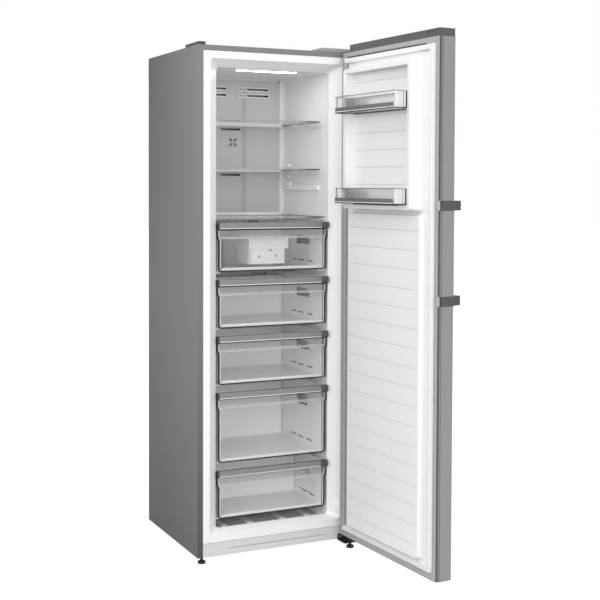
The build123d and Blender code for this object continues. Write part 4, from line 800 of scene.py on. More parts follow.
    def corner_normals(self, limit: float) -> list[Vector]:
        """The normals at every face corner: flat faces stay flat and easings roll over between them.

        Args:
            limit: the angle below which two faces blend.

        Returns:
            One normal for each corner, in the order of the faces.
        """
        areas, least = self.flat_areas(), cos(limit)
        normals = []
        for face in self.bm.faces:
            face.smooth = True
            for vert in face.verts:
                total = Vector()
                for near in vert.link_faces:
                    if near.normal.dot(face.normal) > least:
                        total += near.normal * areas[near]
                normals.append(total.normalized() if total.length > 0 else face.normal.copy())
        return normals

    def piece(
        self, name: str, looks: Sequence[Look], slot: str, stands_for: Sequence[str] = (),
        smooth: float = 40.0,
    ) -> None:
        """Makes the finished piece, puts it in the scene on its body and hides the CAD nodes that it replaces.

        Args:
            name: the piece's name.
            looks: its finishes, in the order of its material slots.
            slot: the record's material slot; not used.
            stands_for: the CAD nodes that it replaces.
            smooth: the angle in degrees below which its facets blend.
        """
        bmesh.ops.recalc_face_normals(self.bm, faces=self.bm.faces)
        bmesh.ops.transform(self.bm, matrix=self.space, verts=self.bm.verts)
        self.bm.normal_update()
        normals = self.corner_normals(radians(smooth))
        mesh = bpy.data.meshes.new(name)
        self.bm.to_mesh(mesh)
        self.bm.free()
        mesh.normals_split_custom_set(normals)
        for look in looks:
            mesh.materials.append(look.material())
        made = placed(name, mesh)
        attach(made, self.body)
        if stands_for:
            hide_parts(*stands_for)
        LOG.info("%s: %d faces on %s", name, len(mesh.polygons), self.body)


def eased(
    node: str, width: float, segments: int = 2, space: Matrix = CABINET, body: str = "cabinet"
) -> Shape:
    """A copy of a CAD node with its loose triangles merged and its sharp edges eased.

    Args:
        node: the CAD node to copy.
        width: how wide the eased edges are.
        segments: how many facets an eased edge has.
        space: the matrix from millimetres to the frame, so that the copy is worked in millimetres.
        body: the body that it rides on.

    Returns:
        The copy as a shape in millimetres.
    """
    shape = Shape(space, body)
    shape.bm.from_mesh(frame["nodes"][node].data)
    bmesh.ops.transform(shape.bm, matrix=space.inverted(), verts=shape.bm.verts)
    bmesh.ops.remove_doubles(shape.bm, verts=shape.bm.verts, dist=0.01)
    bmesh.ops.dissolve_degenerate(shape.bm, dist=0.01, edges=shape.bm.edges)
    bmesh.ops.dissolve_limit(
        shape.bm, angle_limit=radians(0.6), verts=shape.bm.verts, edges=shape.bm.edges,
        use_dissolve_boundaries=False,
    )
    shape.bevel(shape.sharp_edges(), width, segments)
    shape.bm.normal_update()
    return shape


def plain_copy(
    node: str, name: str, look: Look, slot: str, width: float, segments: int = 2,
    space: Matrix = CABINET, body: str = "cabinet",
) -> None:
    """Makes a piece that is a CAD node with eased edges, in one finish.

    Args:
        node: the CAD node that it copies and replaces.
        name: the piece's name.
        look: its finish.
        slot: the record's material slot, handed on to the piece, which does not use it.
        width: how wide the eased edges are.
        segments: how many facets an eased edge has.
        space: the matrix from millimetres to the frame.
        body: the body that it rides on.
    """
    eased(node, width, segments, space, body).piece(name, [look], slot, [node])


# ---- Studio ----
@dataclass
class Studio:
    """The floor, the lights and the camera."""

    eye: tuple[float, float, float] = (-1.75172, -3.68911, 1.30698)
    turn: tuple[float, float, float] = (87.940290, -0.232546, -25.779261)
    focal: float = 70.348
    sensor: float = 36.0
    shift: float = -0.12148
    world_level: float = 1.32
    floor_tone: float = 0.16
    floor_glow: float = 0.93
    floor_size: float = 30.0
    lamp_size: float = 2.4

    def build(self) -> None:
        """Puts up the camera, the world, the floor and the lamps."""
        self.camera()
        self.world()
        self.floor()
        self.lamps()
        scene = bpy.context.scene
        scene.view_settings.view_transform = "Standard"

    def camera(self) -> None:
        """Sets the camera at the photograph's angle."""
        data = bpy.data.cameras.new("camera")
        data.sensor_fit = "HORIZONTAL"
        data.sensor_width = self.sensor
        data.lens = self.focal
        data.shift_y = self.shift
        data.clip_end = 100.0
        made = placed("camera", data)
        made.location = self.eye
        made.rotation_euler = Euler([radians(angle) for angle in self.turn])
        bpy.context.scene.camera = made

    def world(self) -> None:
        """Lights the room evenly and shows it white to the camera, in gloss and through glass."""
        world = bpy.data.worlds.new("room")
        bpy.context.scene.world = world
        world.use_nodes = True
        world.node_tree.nodes.clear()
        bench = Bench(world.node_tree)
        blend = bench.add("ShaderNodeMixShader")
        bench.join(self.seen(bench), blend.inputs[0])
        for strength, slot in ((self.world_level, 1), (1.0, 2)):
            white = bench.add("ShaderNodeBackground", Color=(1.0, 1.0, 1.0, 1.0), Strength=strength)
            bench.join(white.outputs[0], blend.inputs[slot])
        bench.join(blend.outputs[0], bench.add("ShaderNodeOutputWorld").inputs[0])

    def seen(self, bench: Bench) -> bpy.types.NodeSocket:
        """A factor of 1 for what the camera sees, straight, in gloss or through glass, and otherwise 0."""
        path = bench.add("ShaderNodeLightPath").outputs
        straight = bench.maths("MAXIMUM", path["Is Camera Ray"], path["Is Transmission Ray"])
        return bench.maths("MAXIMUM", straight, path["Is Glossy Ray"])

    def floor(self) -> None:
        """Lays a plain pale floor that shows white and keeps the freezer's shadow."""
        mesh = bpy.data.meshes.new("floor")
        bm = bmesh.new()
        bmesh.ops.create_grid(bm, x_segments=4, y_segments=4, size=self.floor_size)
        bm.to_mesh(mesh)
        bm.free()
        look = bpy.data.materials.new("studio_floor")
        look.use_nodes = True
        look.node_tree.nodes.clear()
        bench = Bench(look.node_tree)
        plain = bench.add("ShaderNodeBsdfDiffuse", Roughness=1.0, Color=(*grey(self.floor_tone), 1.0))
        bright = bench.add("ShaderNodeEmission", Color=(*grey(self.floor_glow), 1.0))
        bench.join(self.seen(bench), bright.inputs["Strength"])
        total = bench.add("ShaderNodeAddShader")
        bench.join(plain.outputs[0], total.inputs[0])
        bench.join(bright.outputs[0], total.inputs[1])
        bench.join(total.outputs[0], bench.add("ShaderNodeOutputMaterial").inputs[0])
        mesh.materials.append(look)
        made = placed("floor", mesh)

    def lamps(self) -> None:
        """Hangs the soft boxes."""
        self.soft_box("key", (-3.9, -3.2, 2.0), (0.2, 0.0, 0.9), 60.0)
        self.soft_box("front", (-0.6, -5.0, 1.5), (0.0, 0.2, 0.9), 62.0)
        self.soft_box("rear", (1.5, 3.6, 2.6), (0.0, 0.0, 1.0), 20.0)

    def soft_box(self, name: str, place: Sequence[float], aim: Sequence[float], power: float) -> None:
        """Hangs one soft box.

        Args:
            name: the lamp's name.
            place: where it hangs.
            aim: the point that it faces.
            power: its power in watts.
        """
        data = bpy.data.lights.new(name, "AREA")
        data.shape = "SQUARE"
        data.size = self.lamp_size
        data.energy = power
        made = placed(name, data)
        made.location = place
        made.visible_camera = False
        made.rotation_euler = (Vector(aim) - Vector(place)).to_track_quat("-Z", "Y").to_euler()


# ---- Sub-assemblies ----
SHELF_TOPS = (1514.333, 1341.667, 1169.0)
SHELF_FRONTS = (92.0, 92.0, 56.0)
WALLS = ((80.0, 1.0), (515.0, -1.0))


@dataclass(frozen=True)
class WallForm:
    """A rounded form on both side walls: how far it stands out, its place, its radius and its easing."""

    out: float
    y: Span
    z: Span
    radius: float
    ease: float

    def add(self, shape: Shape, wall: float, way: float, level: float = 0.0) -> None:
        """Adds the form to one wall, higher by a level."""
        z = (self.z[0] + level, self.z[1] + level)
        shape.rounded_block(outward(wall, way, self.out), self.y, z, 0, self.radius, self.ease)


@dataclass
class CabinetShell:
    """The steel wrap and its trims, the liner and what is moulded into it.

    A field of mixed numbers gives them in this order: runner, how far out and how high; runner_ends, the
    level and the back of each; upright_line, depth and height; rib and rib_end, width, depth and height;
    lens_rib, depth and height; cap_rib, width and height. A Row is a start, a pitch and a count.
    """

    wrap_levels: Floats = (450.0, 900.0, 1350.0)
    wrap_depths: Floats = (60.0, 175.0, 350.0)
    wrap_middle: float = 900.0
    wrap_height: float = 1758.0
    wrap_depth: float = 525.0
    glass: float = 4.0
    ledge: float = 10.0
    front_ledge_end: float = 226.0
    rear_ledge: Span = (300.0, 400.0)
    wedge: Points = ((12.0, -3.0), (84.0, -3.0), (72.0, -14.0), (24.0, -13.0))
    hook_forms: tuple[WallForm, ...] = (
        WallForm(10.0, (338.0, 372.0), (-12.0, -2.0), 4.0, 0.8),
        WallForm(10.0, (388.0, 404.0), (-7.0, -0.4), 3.0, 0.8),
        WallForm(3.4, (392.0, 408.0), (-8.0, 18.0), 5.0, 0.8),
    )
    rail_forms: tuple[WallForm, ...] = (
        WallForm(8.0, (119.0, 425.0), (1263.667, 1279.667), 5.0, 1.5),
        WallForm(9.6, (108.0, 146.0), (1264.167, 1282.167), 6.0, 1.5),
        WallForm(9.6, (345.0, 406.0), (1264.167, 1297.667), 6.0, 1.5),
        WallForm(9.6, (352.0, 380.0), (1309.0, 1320.0), 4.0, 1.2),
        WallForm(9.6, (352.0, 392.0), (1349.0, 1363.0), 5.0, 1.2),
    )
    runner: tuple[float, float] = (28.0, 8.0)
    runner_front: float = 64.0
    runner_ends: Points = ((980.0, 398.0), (783.0, 398.0), (586.0, 398.0), (313.0, 398.0), (116.0, 280.0))
    lit_rails_above: float = 1080.0
    line_height: float = 0.9
    mark_lows: Floats = (1642.0, 1468.3, 1295.7)
    mark_height: float = 22.5
    mark_depth: float = 226.0
    line_levels: Floats = (1491.5, 1324.0)
    line_reach: Span = (49.0, 226.0)
    upright_line: tuple[float, Span] = (94.0, (1345.0, 1487.0))
    wall_pad: WallForm = WallForm(0.8, (58.0, 70.0), (86.0, 109.0), 2.0, 0.3)
    shade_plate: Box = ((83.0, 512.0), (88.0, 286.5), (71.9, 72.7))
    rib_centres: Floats = (134.0, 234.0, 361.0, 461.0)
    rib: tuple[float, Span, Span] = (21.4, (99.0, 286.5), (74.6, 75.5))
    rib_end: tuple[float, Span, Span] = (26.0, (89.0, 101.0), (72.6, 76.4))
    funnel_mark: Points = ((17.4, 18.0), (34.4, 1.0), (34.0, 0.2), (16.6, 17.6))
    funnel_mark_height: Span = (112.0, 146.0)
    rib_width: float = 1.6
    lens: Box = ((180.0, 414.0), (86.0, 108.0), (1684.6, 1687.0))
    lens_ribs: Row = (194.0, 20.7, 11)
    lens_rib: tuple[Span, Span] = ((88.0, 106.0), (1684.3, 1685.0))
    lens_rim: Box = ((174.0, 421.0), (81.0, 113.5), (1685.6, 1687.0))
    kick_groove: Box = ((112.0, 492.0), (-0.35, 0.4), (21.6, 24.2))
    kick_seam: Box = ((20.0, 575.0), (-0.2, 0.4), (46.6, 48.0))
    cap_ribs: Row = (28.0, 20.0, 5)
    cap_rib: tuple[Span, Span] = ((5.0, 24.0), (1767.4, 1768.0))
    cover_seam: Box = ((478.0, 586.0), (96.0, 98.0), (1770.4, 1771.0))

    def build(self) -> None:
        """Makes the wrap, the liner, its rails, the lamp and the outer trims."""
        self.wrap()
        plain_copy("inner_liner", "liner_shell", Look.LINER, "liner", 2.2, 3)
        self.rails()
        self.wall_lines()
        self.floor_painted_light()
        self.funnel_marks()
        self.lamp()
        self.trims()

    def wrap(self) -> None:
        """The painted steel wrap, with a painted shade that darkens it towards its foot and its back."""
        shape = eased("outer_shell", 0.5)
        for axis, places in ((2, self.wrap_levels), (1, self.wrap_depths)):
            for place in places:
                shape.cut(axis, place)
        shape.fade(self.wrap_shade)
        shape.piece("steel_wrap", [Look.SIDE_STEEL], "steel", ["outer_shell"])

    def wrap_shade(self, at: Vector) -> float:
        """How dark the painted shade on the wrap is at a place: near 0 at the top of the front edge, 1 low at the
        back.
        """
        back = max(0.0, min(1.0, at.y / self.wrap_depth))
        if at.z > self.wrap_middle:
            rise = (at.z - self.wrap_middle) / (self.wrap_height - self.wrap_middle)
            return 0.18 - 0.16 * rise + (0.38 + 0.37 * rise) * back
        fall = (self.wrap_middle - at.z) / self.wrap_middle
        return 0.18 + 0.57 * fall + (0.38 - 0.03 * fall) * back

    def rails(self) -> None:
        """The shelf ledges, the drawer runners and the long side rails, on both walls; above lit_rails_above they
        take a painted highlight.
        """
        shape = Shape()
        for wall, way in WALLS:
            for top, front in zip(SHELF_TOPS, SHELF_FRONTS):
                self.ledges(shape, wall, way, top - self.glass, front)
            for low, back in self.runner_ends:
                height = (low - self.runner[1], low - 0.4)
                shape.block(outward(wall, way, self.runner[0]), (self.runner_front, back), height, 1.5)
            for form in self.rail_forms:
                form.add(shape, wall, way)
        # Painted highlight on the rails above lit_rails_above.
        shape.paint(1, lambda at, normal: at.z > self.lit_rails_above)
        shape.piece("rails_and_ledges", [Look.LINER, Look.HIGHLIGHT_WHITE], "liner", ["wall_rails"])

    def ledges(self, shape: Shape, wall: float, way: float, under: float, front: float) -> None:
        """One shelf's ledges on one wall: a rail with a wedge in front, and a rail with its hook behind.

        Args:
            shape: the shape to add to.
            wall: the wall's x.
            way: +1 or -1, the way into the cabinet.
            under: the glass's underside.
            front: the glass's front edge.
        """
        x = outward(wall, way, self.ledge)
        shape.block(x, (front - 2.0, self.front_ledge_end), (under - 5.0, under - 0.2), 0.8)
        shape.prism([(front + y, under + z) for y, z in self.wedge], 0, x, {2: 4.0, 3: 4.0})
        shape.block(x, self.rear_ledge, (under - 6.0, under - 0.2), 0.8)
        for form in self.hook_forms:
            form.add(shape, wall, way, under)

    def wall_lines(self) -> None:
        """Fine raised lines in a painted-shade grey, marks in a painted-highlight white, and pads, on both side
        walls.
        """
        lines, pads = Shape(), Shape()
        for wall, way in WALLS:
            span = outward(wall, way, self.line_height)
            for low in self.mark_lows:
                lines.block(span, around(self.mark_depth, 5.0), (low, low + self.mark_height), SMALL_EASE)
            for level in self.line_levels:
                lines.block(span, self.line_reach, proud(level, 1.2, 0.4), 0.3)
            lines.block(span, around(self.upright_line[0], self.rib_width), self.upright_line[1], 0.3)
            self.wall_pad.add(pads, wall, way)
        # Painted highlight on the marks; the lines keep the painted-shade grey.
        lines.paint(1, lambda at, normal: at.y > self.mark_depth - 6.0)
        lines.piece("wall_lines", [Look.LINER_SHADE_LINE, Look.HIGHLIGHT_WHITE], "liner")
        pads.piece("wall_pads", [Look.WHITE_TRIM_AND_HIGHLIGHT], "liner")

    def floor_painted_light(self) -> None:
        """Painted light on the liner floor: a grey plate of painted shade, paler painted highlights on the four
        ribs and brighter ones on their front ends.
        """
        shade_plate, ribs, ends = Shape(), Shape(), Shape()
        shade_plate.rounded_block(*self.shade_plate, 2, 12.0, 0.2)
        shade_plate.piece("floor_painted_shade", [Look.FLOOR_SHADE], "liner")
        width, *rib = self.rib
        end_width, *end = self.rib_end
        for centre in self.rib_centres:
            ribs.block(around(centre, width), *rib, SMALL_EASE)
            ends.rounded_block(around(centre, end_width), *end, 2, 2.0, 0.8)
        ribs.piece("rib_highlights", [Look.RIB_HIGHLIGHT], "liner")
        ends.piece("rib_highlight_ends", [Look.HIGHLIGHT_WHITE], "liner")

    def funnel_marks(self) -> None:
        """The small raised squares that are moulded into the lead-in slopes near the floor, in the
        painted-highlight white.
        """
        shape = Shape()
        for wall, way in WALLS:
            outline = [(wall - way * x, y) for x, y in self.funnel_mark]
            shape.prism(outline, 2, self.funnel_mark_height)
        shape.bevel(shape.sharp_edges(50.0), 0.25, 1)
        shape.piece("funnel_marks", [Look.HIGHLIGHT_WHITE], "liner")

    def lamp(self) -> None:
        """The ceiling lamp: a slim frame and a glowing ribbed lens."""
        lens, rim = Shape(), Shape()
        lens.rounded_block(*self.lens, 2, 10.0, 0.8)
        for x in row(*self.lens_ribs):
            lens.block(around(x, self.rib_width), *self.lens_rib, HAIR_EASE)
        lens.piece("lamp_lens", [Look.LAMP], "lamp", ["ceiling_lamp"])
        rim.rounded_block(*self.lens_rim, 2, 15.0, 0.5)
        rim.piece("lamp_rim", [Look.WHITE_TRIM_AND_HIGHLIGHT], "lamp")

    def trims(self) -> None:
        """The kick plate, the corner cap and the hinge cover."""
        plain_copy("kick_plate", "kick_panel", Look.KICK, "white_trim", 0.8)
        # Painted shade in the kick plate's groove; the strip above it is the plate's dark seam.
        lines = Shape()
        lines.rounded_block(*self.kick_groove, 1, 1.2, 0.15)
        lines.block(*self.kick_seam, 0.1)
        lines.piece("kick_lines", [Look.FLANGE_GREY_AND_SHADE], "white_trim")
        cap = eased("top_corner_cap", 0.6)
        for y in row(*self.cap_ribs):
            cap.block(self.cap_rib[0], around(y, self.rib_width), self.cap_rib[1], HAIR_EASE)
        cap.piece("corner_cap", [Look.DARK_TRIM], "dark_trim", ["top_corner_cap"])
        cover = eased("top_hinge_cover", 0.8)
        cover.block(*self.cover_seam, 0.25)
        cover.piece("hinge_cover", [Look.HINGE_GREY], "dark_trim", ["top_hinge_cover"])


@dataclass
class AirDuct:
    """The cold air duct's cover, and the painted shade that stands for what shows through its vents.

    A field of mixed numbers gives them in this order: crease, the centre and half of the width; top_filler
    and bright_ledge, across and height; long_slot, the width, the drop below a shelf and the height; petal,
    the level and the size; shade_plates, the centre, width, level and height of each.
    """

    front: float = 410.0
    centre: float = 297.5
    crease: tuple[float, float] = (342.5, 14.0)
    crease_height: Span = (330.0, 1660.0)
    filler_depth: Span = (410.9, 412.6)
    filler_spans: tuple[Span, ...] = ((80.4, 101.7), (493.3, 514.6))
    top_filler: tuple[Span, Span] = ((102.2, 492.8), (1681.5, 1686.7))
    bright_ledge: tuple[Span, Span] = ((112.0, 483.0), (1147.5, 1160.0))
    shade_depth: Span = (412.2, 413.0)
    long_slot: tuple[float, float, float] = (106.0, 21.0, 11.0)
    slot_fade: Span = (225.0, 285.0)
    petal: tuple[float, float] = (1444.333, 46.0)
    shade_plates: tuple[tuple[float, float, float, float], ...] = (
        (193.0, 74.0, 941.0, 13.0), (402.0, 74.0, 941.0, 13.0),
        (213.5, 46.0, 1143.0, 14.0), (381.5, 46.0, 1143.0, 14.0),
        (261.0, 18.0, 1647.0, 11.0), (261.0, 18.0, 1623.0, 11.0),
        (436.0, 18.0, 1647.0, 11.0), (436.0, 18.0, 1623.0, 11.0),
    )
    recess_spans: tuple[Span, ...] = ((150.0, 270.0), (325.0, 445.0))
    recess_levels: Floats = (1647.0, 1623.0)

    def build(self) -> None:
        """Makes the cover and its raised details."""
        plain_copy("duct_cover", "duct_panel", Look.DUCT, "liner", 1.2)
        self.fillers()
        self.crease_painted_shade()
        self.vent_shades()
        self.top_vents()
        self.petal_boss()

    def fillers(self) -> None:
        """The flush strips beside and above the cover, and the ledge over its slanted slots in the
        painted-highlight white.
        """
        sides, ledge = Shape(), Shape()
        for span in self.filler_spans:
            sides.block(span, self.filler_depth, (312.0, 1686.6), 0.5)
        sides.block(self.top_filler[0], self.filler_depth, self.top_filler[1], 0.3)
        sides.piece("duct_fillers", [Look.LINER], "liner")
        ledge.block(self.bright_ledge[0], proud(self.front, 0.7), self.bright_ledge[1], SMALL_EASE)
        ledge.piece("duct_ledge", [Look.HIGHLIGHT_WHITE], "liner")

    def crease_painted_shade(self) -> None:
        """Painted shade of the shallow upright crease: flat strips whose colour is darkest along its middle."""
        shape = Shape()
        centre, half = self.crease
        for way in (-1.0, 1.0):
            shape.block(outward(centre, way, half), proud(self.front, 0.3), self.crease_height)
        shape.fade(lambda at: 1.0 - abs(at.x - centre) / half)
        shape.piece("duct_crease_shades", [Look.DUCT_CREASE_SHADE], "liner")

    def vent_shades(self) -> None:
        """Painted shade just behind the vents: a graded plate behind each long slot, a plate in the slot shade
        behind the petal vent, and black plates behind the others.
        """
        slots, shape = Shape(), Shape()
        width, drop, height = self.long_slot
        for top in SHELF_TOPS[:2]:
            slots.block(around(self.centre, width), self.shade_depth, around(top - drop, height))
        start, end = self.slot_fade
        slots.fade(lambda at: (at.x - start) / (end - start))
        level, size = self.petal
        slots.block(around(self.centre, size), self.shade_depth, around(level, size))
        slots.piece("slot_shades", [Look.SLOT], "dark_trim")
        for x, width, z, height in self.shade_plates:
            shape.block(around(x, width), self.shade_depth, around(z, height))
        shape.piece("vent_shade_plates", [Look.BLACK_AND_SHADE], "dark_trim")

    def top_vents(self) -> None:
        """The frames in the painted-highlight white and the painted shade on the floors of the four long recesses
        near the ceiling.
        """
        frames, recess_shades = Shape(), Shape()
        rounds = {index: 6.0 for index in range(4)}
        for (left, right), level in product(self.recess_spans, self.recess_levels):
            x, z = (left - 3.0, right + 3.0), (level - 7.0, level + 7.0)
            outline = [(x[0], z[0]), (x[1], z[0]), (x[1], z[1]), (x[0], z[1])]
            frames.band(outline, 1, proud(self.front, 0.9), 2.6, rounds)
            recess_shades.block((left + 1.0, right - 18.5), (self.front + 0.5, self.front + 1.1), around(level, 7.6))
        recess_shades.fade(lambda at: 0.45)
        frames.piece("top_vent_frames", [Look.HIGHLIGHT_WHITE], "liner")
        recess_shades.piece("top_vent_shades", [Look.SLOT], "liner")

    def petal_boss(self) -> None:
        """The small hub in the middle of the petal vent."""
        shape = Shape()
        shape.rod(4.2, 1, (self.centre, self.front - 0.4, self.petal[0]), 1.2, segments=24)
        shape.bevel(shape.sharp_edges(), 0.4, 2)
        shape.piece("petal_hub", [Look.DUCT], "liner")


@dataclass
class GlassShelves:
    """Three glass shelves with their rear trims."""

    edge_fade: Span = (430.0, 465.0)
    trim_x: Span = (102.0, 493.0)
    trim_y: Span = (391.4, 393.2)
    trim_levels: tuple[Span, ...] = ((1508.7, 1521.0), (1333.0, 1341.2), (1167.0, 1178.0))

    def build(self) -> None:
        """Makes each shelf's glass, whose edges take a painted shade that darkens towards the right, and the trims
        in the painted-highlight white.
        """
        start, end = self.edge_fade
        for number in range(1, 1 + len(SHELF_TOPS)):
            node = f"shelf_glass_{number}"
            shape = eased(node, 0.7)
            shape.cut(0, start)
            shape.cut(0, end)
            shape.paint(1, lambda at, normal: abs(normal.z) < FACING)
            shape.fade(lambda at: (at.x - start) / (end - start))
            shape.piece(f"glass_{number}", [Look.GLASS, Look.GLASS_EDGE], "shelf_glass", [node])
        trims = eased("shelf_trims", 0.6)
        for level in self.trim_levels:
            trims.block(self.trim_x, self.trim_y, level, 0.6)
        trims.piece("rear_trims", [Look.HIGHLIGHT_WHITE], "white_trim", ["shelf_trims"])


@dataclass
class Drawer:
    """One clear drawer: its tub, framed front, grip bar and air dashes.

    The notches are given from the top edge down and the dash level from the underside up.
    """

    number: int
    low: float
    top: float
    back: float
    span: Span = (84.0, 511.0)
    tub: Span = (92.0, 503.0)
    wall: float = 2.0
    front: float = 38.0
    panel: float = 3.0
    neck: float = 6.0
    grip_height: float = 22.0
    grip_depth: float = 18.0
    shoulder_drop: float = 40.0
    lip: float = 4.6
    bead: float = 3.6
    lip_inset: float = 0.2
    corner_radii: tuple[float, float] = (11.0, 9.0)
    rim: float = 5.2
    head: float = 53.0
    back_drop: float = 20.0
    left_gap_shade: tuple[Span, Span] = ((80.7, 84.1), (22.0, 40.0))
    right_cap: float = 29.0
    left_cap: float = 5.0
    wall_bands: Floats = (41.3, 56.0, 70.0)
    step_gap: float = 2.6
    line_width: float = 2.0
    back_line_width: float = 2.2
    notches: tuple[Span, ...] = ((-76.0, -56.0), (-88.0, -79.0))
    notch_reach: Span = (176.0, 266.0)
    notch_look: Look = Look.SLOT
    dash_level: float = 22.5
    dash_runs: tuple[Span, ...] = ((133.0, 172.0), (208.0, 249.0), (269.0, 308.0))
    body: str = field(init=False)

    def __post_init__(self) -> None:
        """Names the body that the drawer rides on."""
        self.body = f"drawer_{self.number}"

    def build(self) -> None:
        """Makes the drawer's pieces."""
        self.case()
        self.frame_bead()
        self.grip()
        self.step_line()
        self.hand_slot_shades()

    def shape(self) -> Shape:
        """An empty shape that rides on the drawer."""
        return Shape(CABINET, self.body)

    def one_look(self, shape: Shape, name: str, look: Look, slot: str = "clear_plastic") -> None:
        """Makes a shape the drawer's piece of that name, in one finish."""
        shape.piece(f"{name}_{self.number}", [look], slot)

    def case(self) -> None:
        """The clear tub with painted light on its right wall, a painted-shade band and a painted-highlight band,
        and a painted-highlight rim; and the front panel with its darker head.
        """
        node = f"drawer_{self.number}"
        shape = eased(node, 0.45, body=self.body)
        head, strip = self.top - self.head, self.top - self.back_drop
        for depth in self.wall_bands:
            shape.cut(1, depth)
        shape.cut(2, head)
        shape.cut(2, strip)
        rim = self.top - self.rim
        behind = self.front + self.panel + 0.2
        right = self.tub[1] - self.wall - 1.0
        back = self.back - self.wall - 1.0
        bands = self.wall_bands
        # Painted highlight and painted shade on the tub's right wall, and a painted highlight on its rim.
        shape.paint(3, lambda at, normal: at.x > right and bands[1] < at.y < bands[2])
        shape.paint(4, lambda at, normal: at.x > right and behind < at.y < bands[1])
        shape.paint(2, lambda at, normal: at.y > back and at.z > strip)
        shape.paint(1, lambda at, normal: at.z > rim and at.y > behind)
        shape.paint(2, lambda at, normal: at.y < behind)
        shape.paint(5, lambda at, normal: at.y < behind and at.z > head)
        looks = [Look.TUB, Look.CLEAR_HIGHLIGHT, Look.CLEAR, Look.TUB_GLEAM, Look.TUB_SHADE, Look.HEAD]
        shape.piece(f"tub_{self.number}", looks, "clear_plastic", [node])

    def outline(self, inset: float) -> Points:
        """The front's outline in x and z, drawn in by an inset, from its lower left corner."""
        left, right = drawn_in(self.span, inset)
        low, high = self.low + inset, self.top - self.grip_height
        shoulder = high - self.shoulder_drop
        return (
            (left + self.neck, low), (right - self.neck, low), (right - self.neck, shoulder),
            (right, shoulder + 2 * self.neck), (right, high), (left, high), (left, shoulder + 2 * self.neck),
            (left + self.neck, shoulder),
        )

    def frame_bead(self) -> None:
        """The raised bead round the front panel: a dark outer lip of painted shade and a pale inner one of painted
        highlight.
        """
        lip, bead = self.shape(), self.shape()
        outer, inner = ({0: radius, 1: radius} for radius in self.corner_radii)
        depth = proud(self.front, 1.8, self.panel + 1.0)
        lip.band(self.outline(self.lip_inset), 1, depth, self.lip, outer)
        self.one_look(lip, "front_lip_shade", Look.DARK_LINE_AND_SHADE)
        inset = self.lip_inset + self.lip
        bead.band(self.outline(inset), 1, proud(self.front, 1.2, 0.0), self.bead, inner)
        foot = drawn_in(self.span, self.neck + 14.0)
        bead.block(foot, proud(self.front, 1.0, 0.4), (self.low + 8.6, self.low + 14.5), SMALL_EASE)
        self.one_look(bead, "front_bead_highlight", Look.CLEAR_HIGHLIGHT)

    def grip(self) -> None:
        """The grip bar: its darker ends, painted shade on its top, a painted highlight on its lower edge, the dark
        seam line under it and painted shade in the gap at its left end.
        """
        node = f"drawer_handle_{self.number}"
        shape = eased(node, 1.3, 3, body=self.body)
        bar = (self.span[0] + self.left_cap, self.span[1] - self.right_cap)
        for end in bar:
            shape.cut(0, end)
        shape.paint(2, lambda at, normal: normal.z > FACING)
        shape.paint(1, lambda at, normal: not within(at.x, bar, 0.0))
        looks = [Look.GRIP, Look.GRIP_CAP, Look.GRIP_TOP_SHADE]
        shape.piece(f"grip_{self.number}", looks, "grip_plastic", [node])
        seam, edge = self.shape(), self.shape()
        z = self.top - self.grip_height
        seam.block(drawn_in(self.span, 5.0), proud(self.front, 1.6, -0.1), (z - 4.2, z + 0.4), 0.3)
        seam.block(*self.left_gap_shade, (z + 0.6, self.top - 1.0), SMALL_EASE)
        self.one_look(seam, "grip_seam_and_gap_shade", Look.DARK_LINE_AND_SHADE, "grip_plastic")
        front = self.front - self.grip_depth
        edge.block(drawn_in(bar, 0.5), proud(front, 0.25, 0.4), (z + 1.4, z + 3.6), 0.25)
        self.one_look(edge, "grip_edge_highlight", Look.WHITE_TRIM_AND_HIGHLIGHT, "grip_plastic")

    def step_line(self) -> None:
        """Painted light on the tub: painted highlights beside a painted-shade line across the front panel's step,
        a shade line and a highlight line on the back wall, and painted highlights on the lower corners.
        """
        step_highlights, step_shades = self.shape(), self.shape()
        panel = proud(self.front, 0.5)
        across = drawn_in(self.span, 11.0)
        level, strip = self.top - self.head, self.top - self.back_drop
        for gap in (self.step_gap, -self.step_gap):
            step_highlights.block(across, panel, around(level + gap, self.line_width), HAIR_EASE)
        step_shades.block(across, panel, around(level, 1.6), HAIR_EASE)
        inner = drawn_in(self.tub, self.wall)
        back = self.back - self.wall
        rear = drawn_in(inner, 7.0)
        step_shades.block(rear, proud(back, 0.7), around(strip, self.back_line_width), HAIR_EASE)
        step_highlights.block(rear, proud(back, 0.8), around(strip - 3.0, self.back_line_width), HAIR_EASE)
        for corner, way in zip(inner, (1.0, -1.0)):
            x = outward(corner, way, 4.0)
            step_highlights.rounded_block(x, proud(back, 4.0, 0.0), (self.low + 8.0, strip - 2.0), 2, 1.9, 0.0, 3)
        self.one_look(step_highlights, "tub_step_highlights", Look.CLEAR_HIGHLIGHT)
        self.one_look(step_shades, "tub_shade_lines", Look.TUB_SHADE)

    def hand_slot_shades(self) -> None:
        """Painted shade in the tub's side walls: graded plates in the hand slots, in the drawer's notch_look, and
        black plates in the air dashes.
        """
        slots, dashes = self.shape(), self.shape()
        left, right = drawn_in(self.tub, self.wall)
        for side in ((left - 0.3, left + 0.6), (right - 0.6, right + 0.3)):
            for low, high in self.notches:
                slots.block(side, self.notch_reach, (self.top + low, self.top + high), HAIR_EASE)
            for run in self.dash_runs:
                dashes.block(side, run, around(self.low + self.dash_level, 4.6), HAIR_EASE)
        start, end = self.notch_reach
        slots.fade(lambda at: (at.y - start) / (end - start) * 1.5)
        self.one_look(slots, "hand_slot_shades", self.notch_look)
        self.one_look(dashes, "air_dash_shades", Look.DARK_LINE_AND_SHADE)


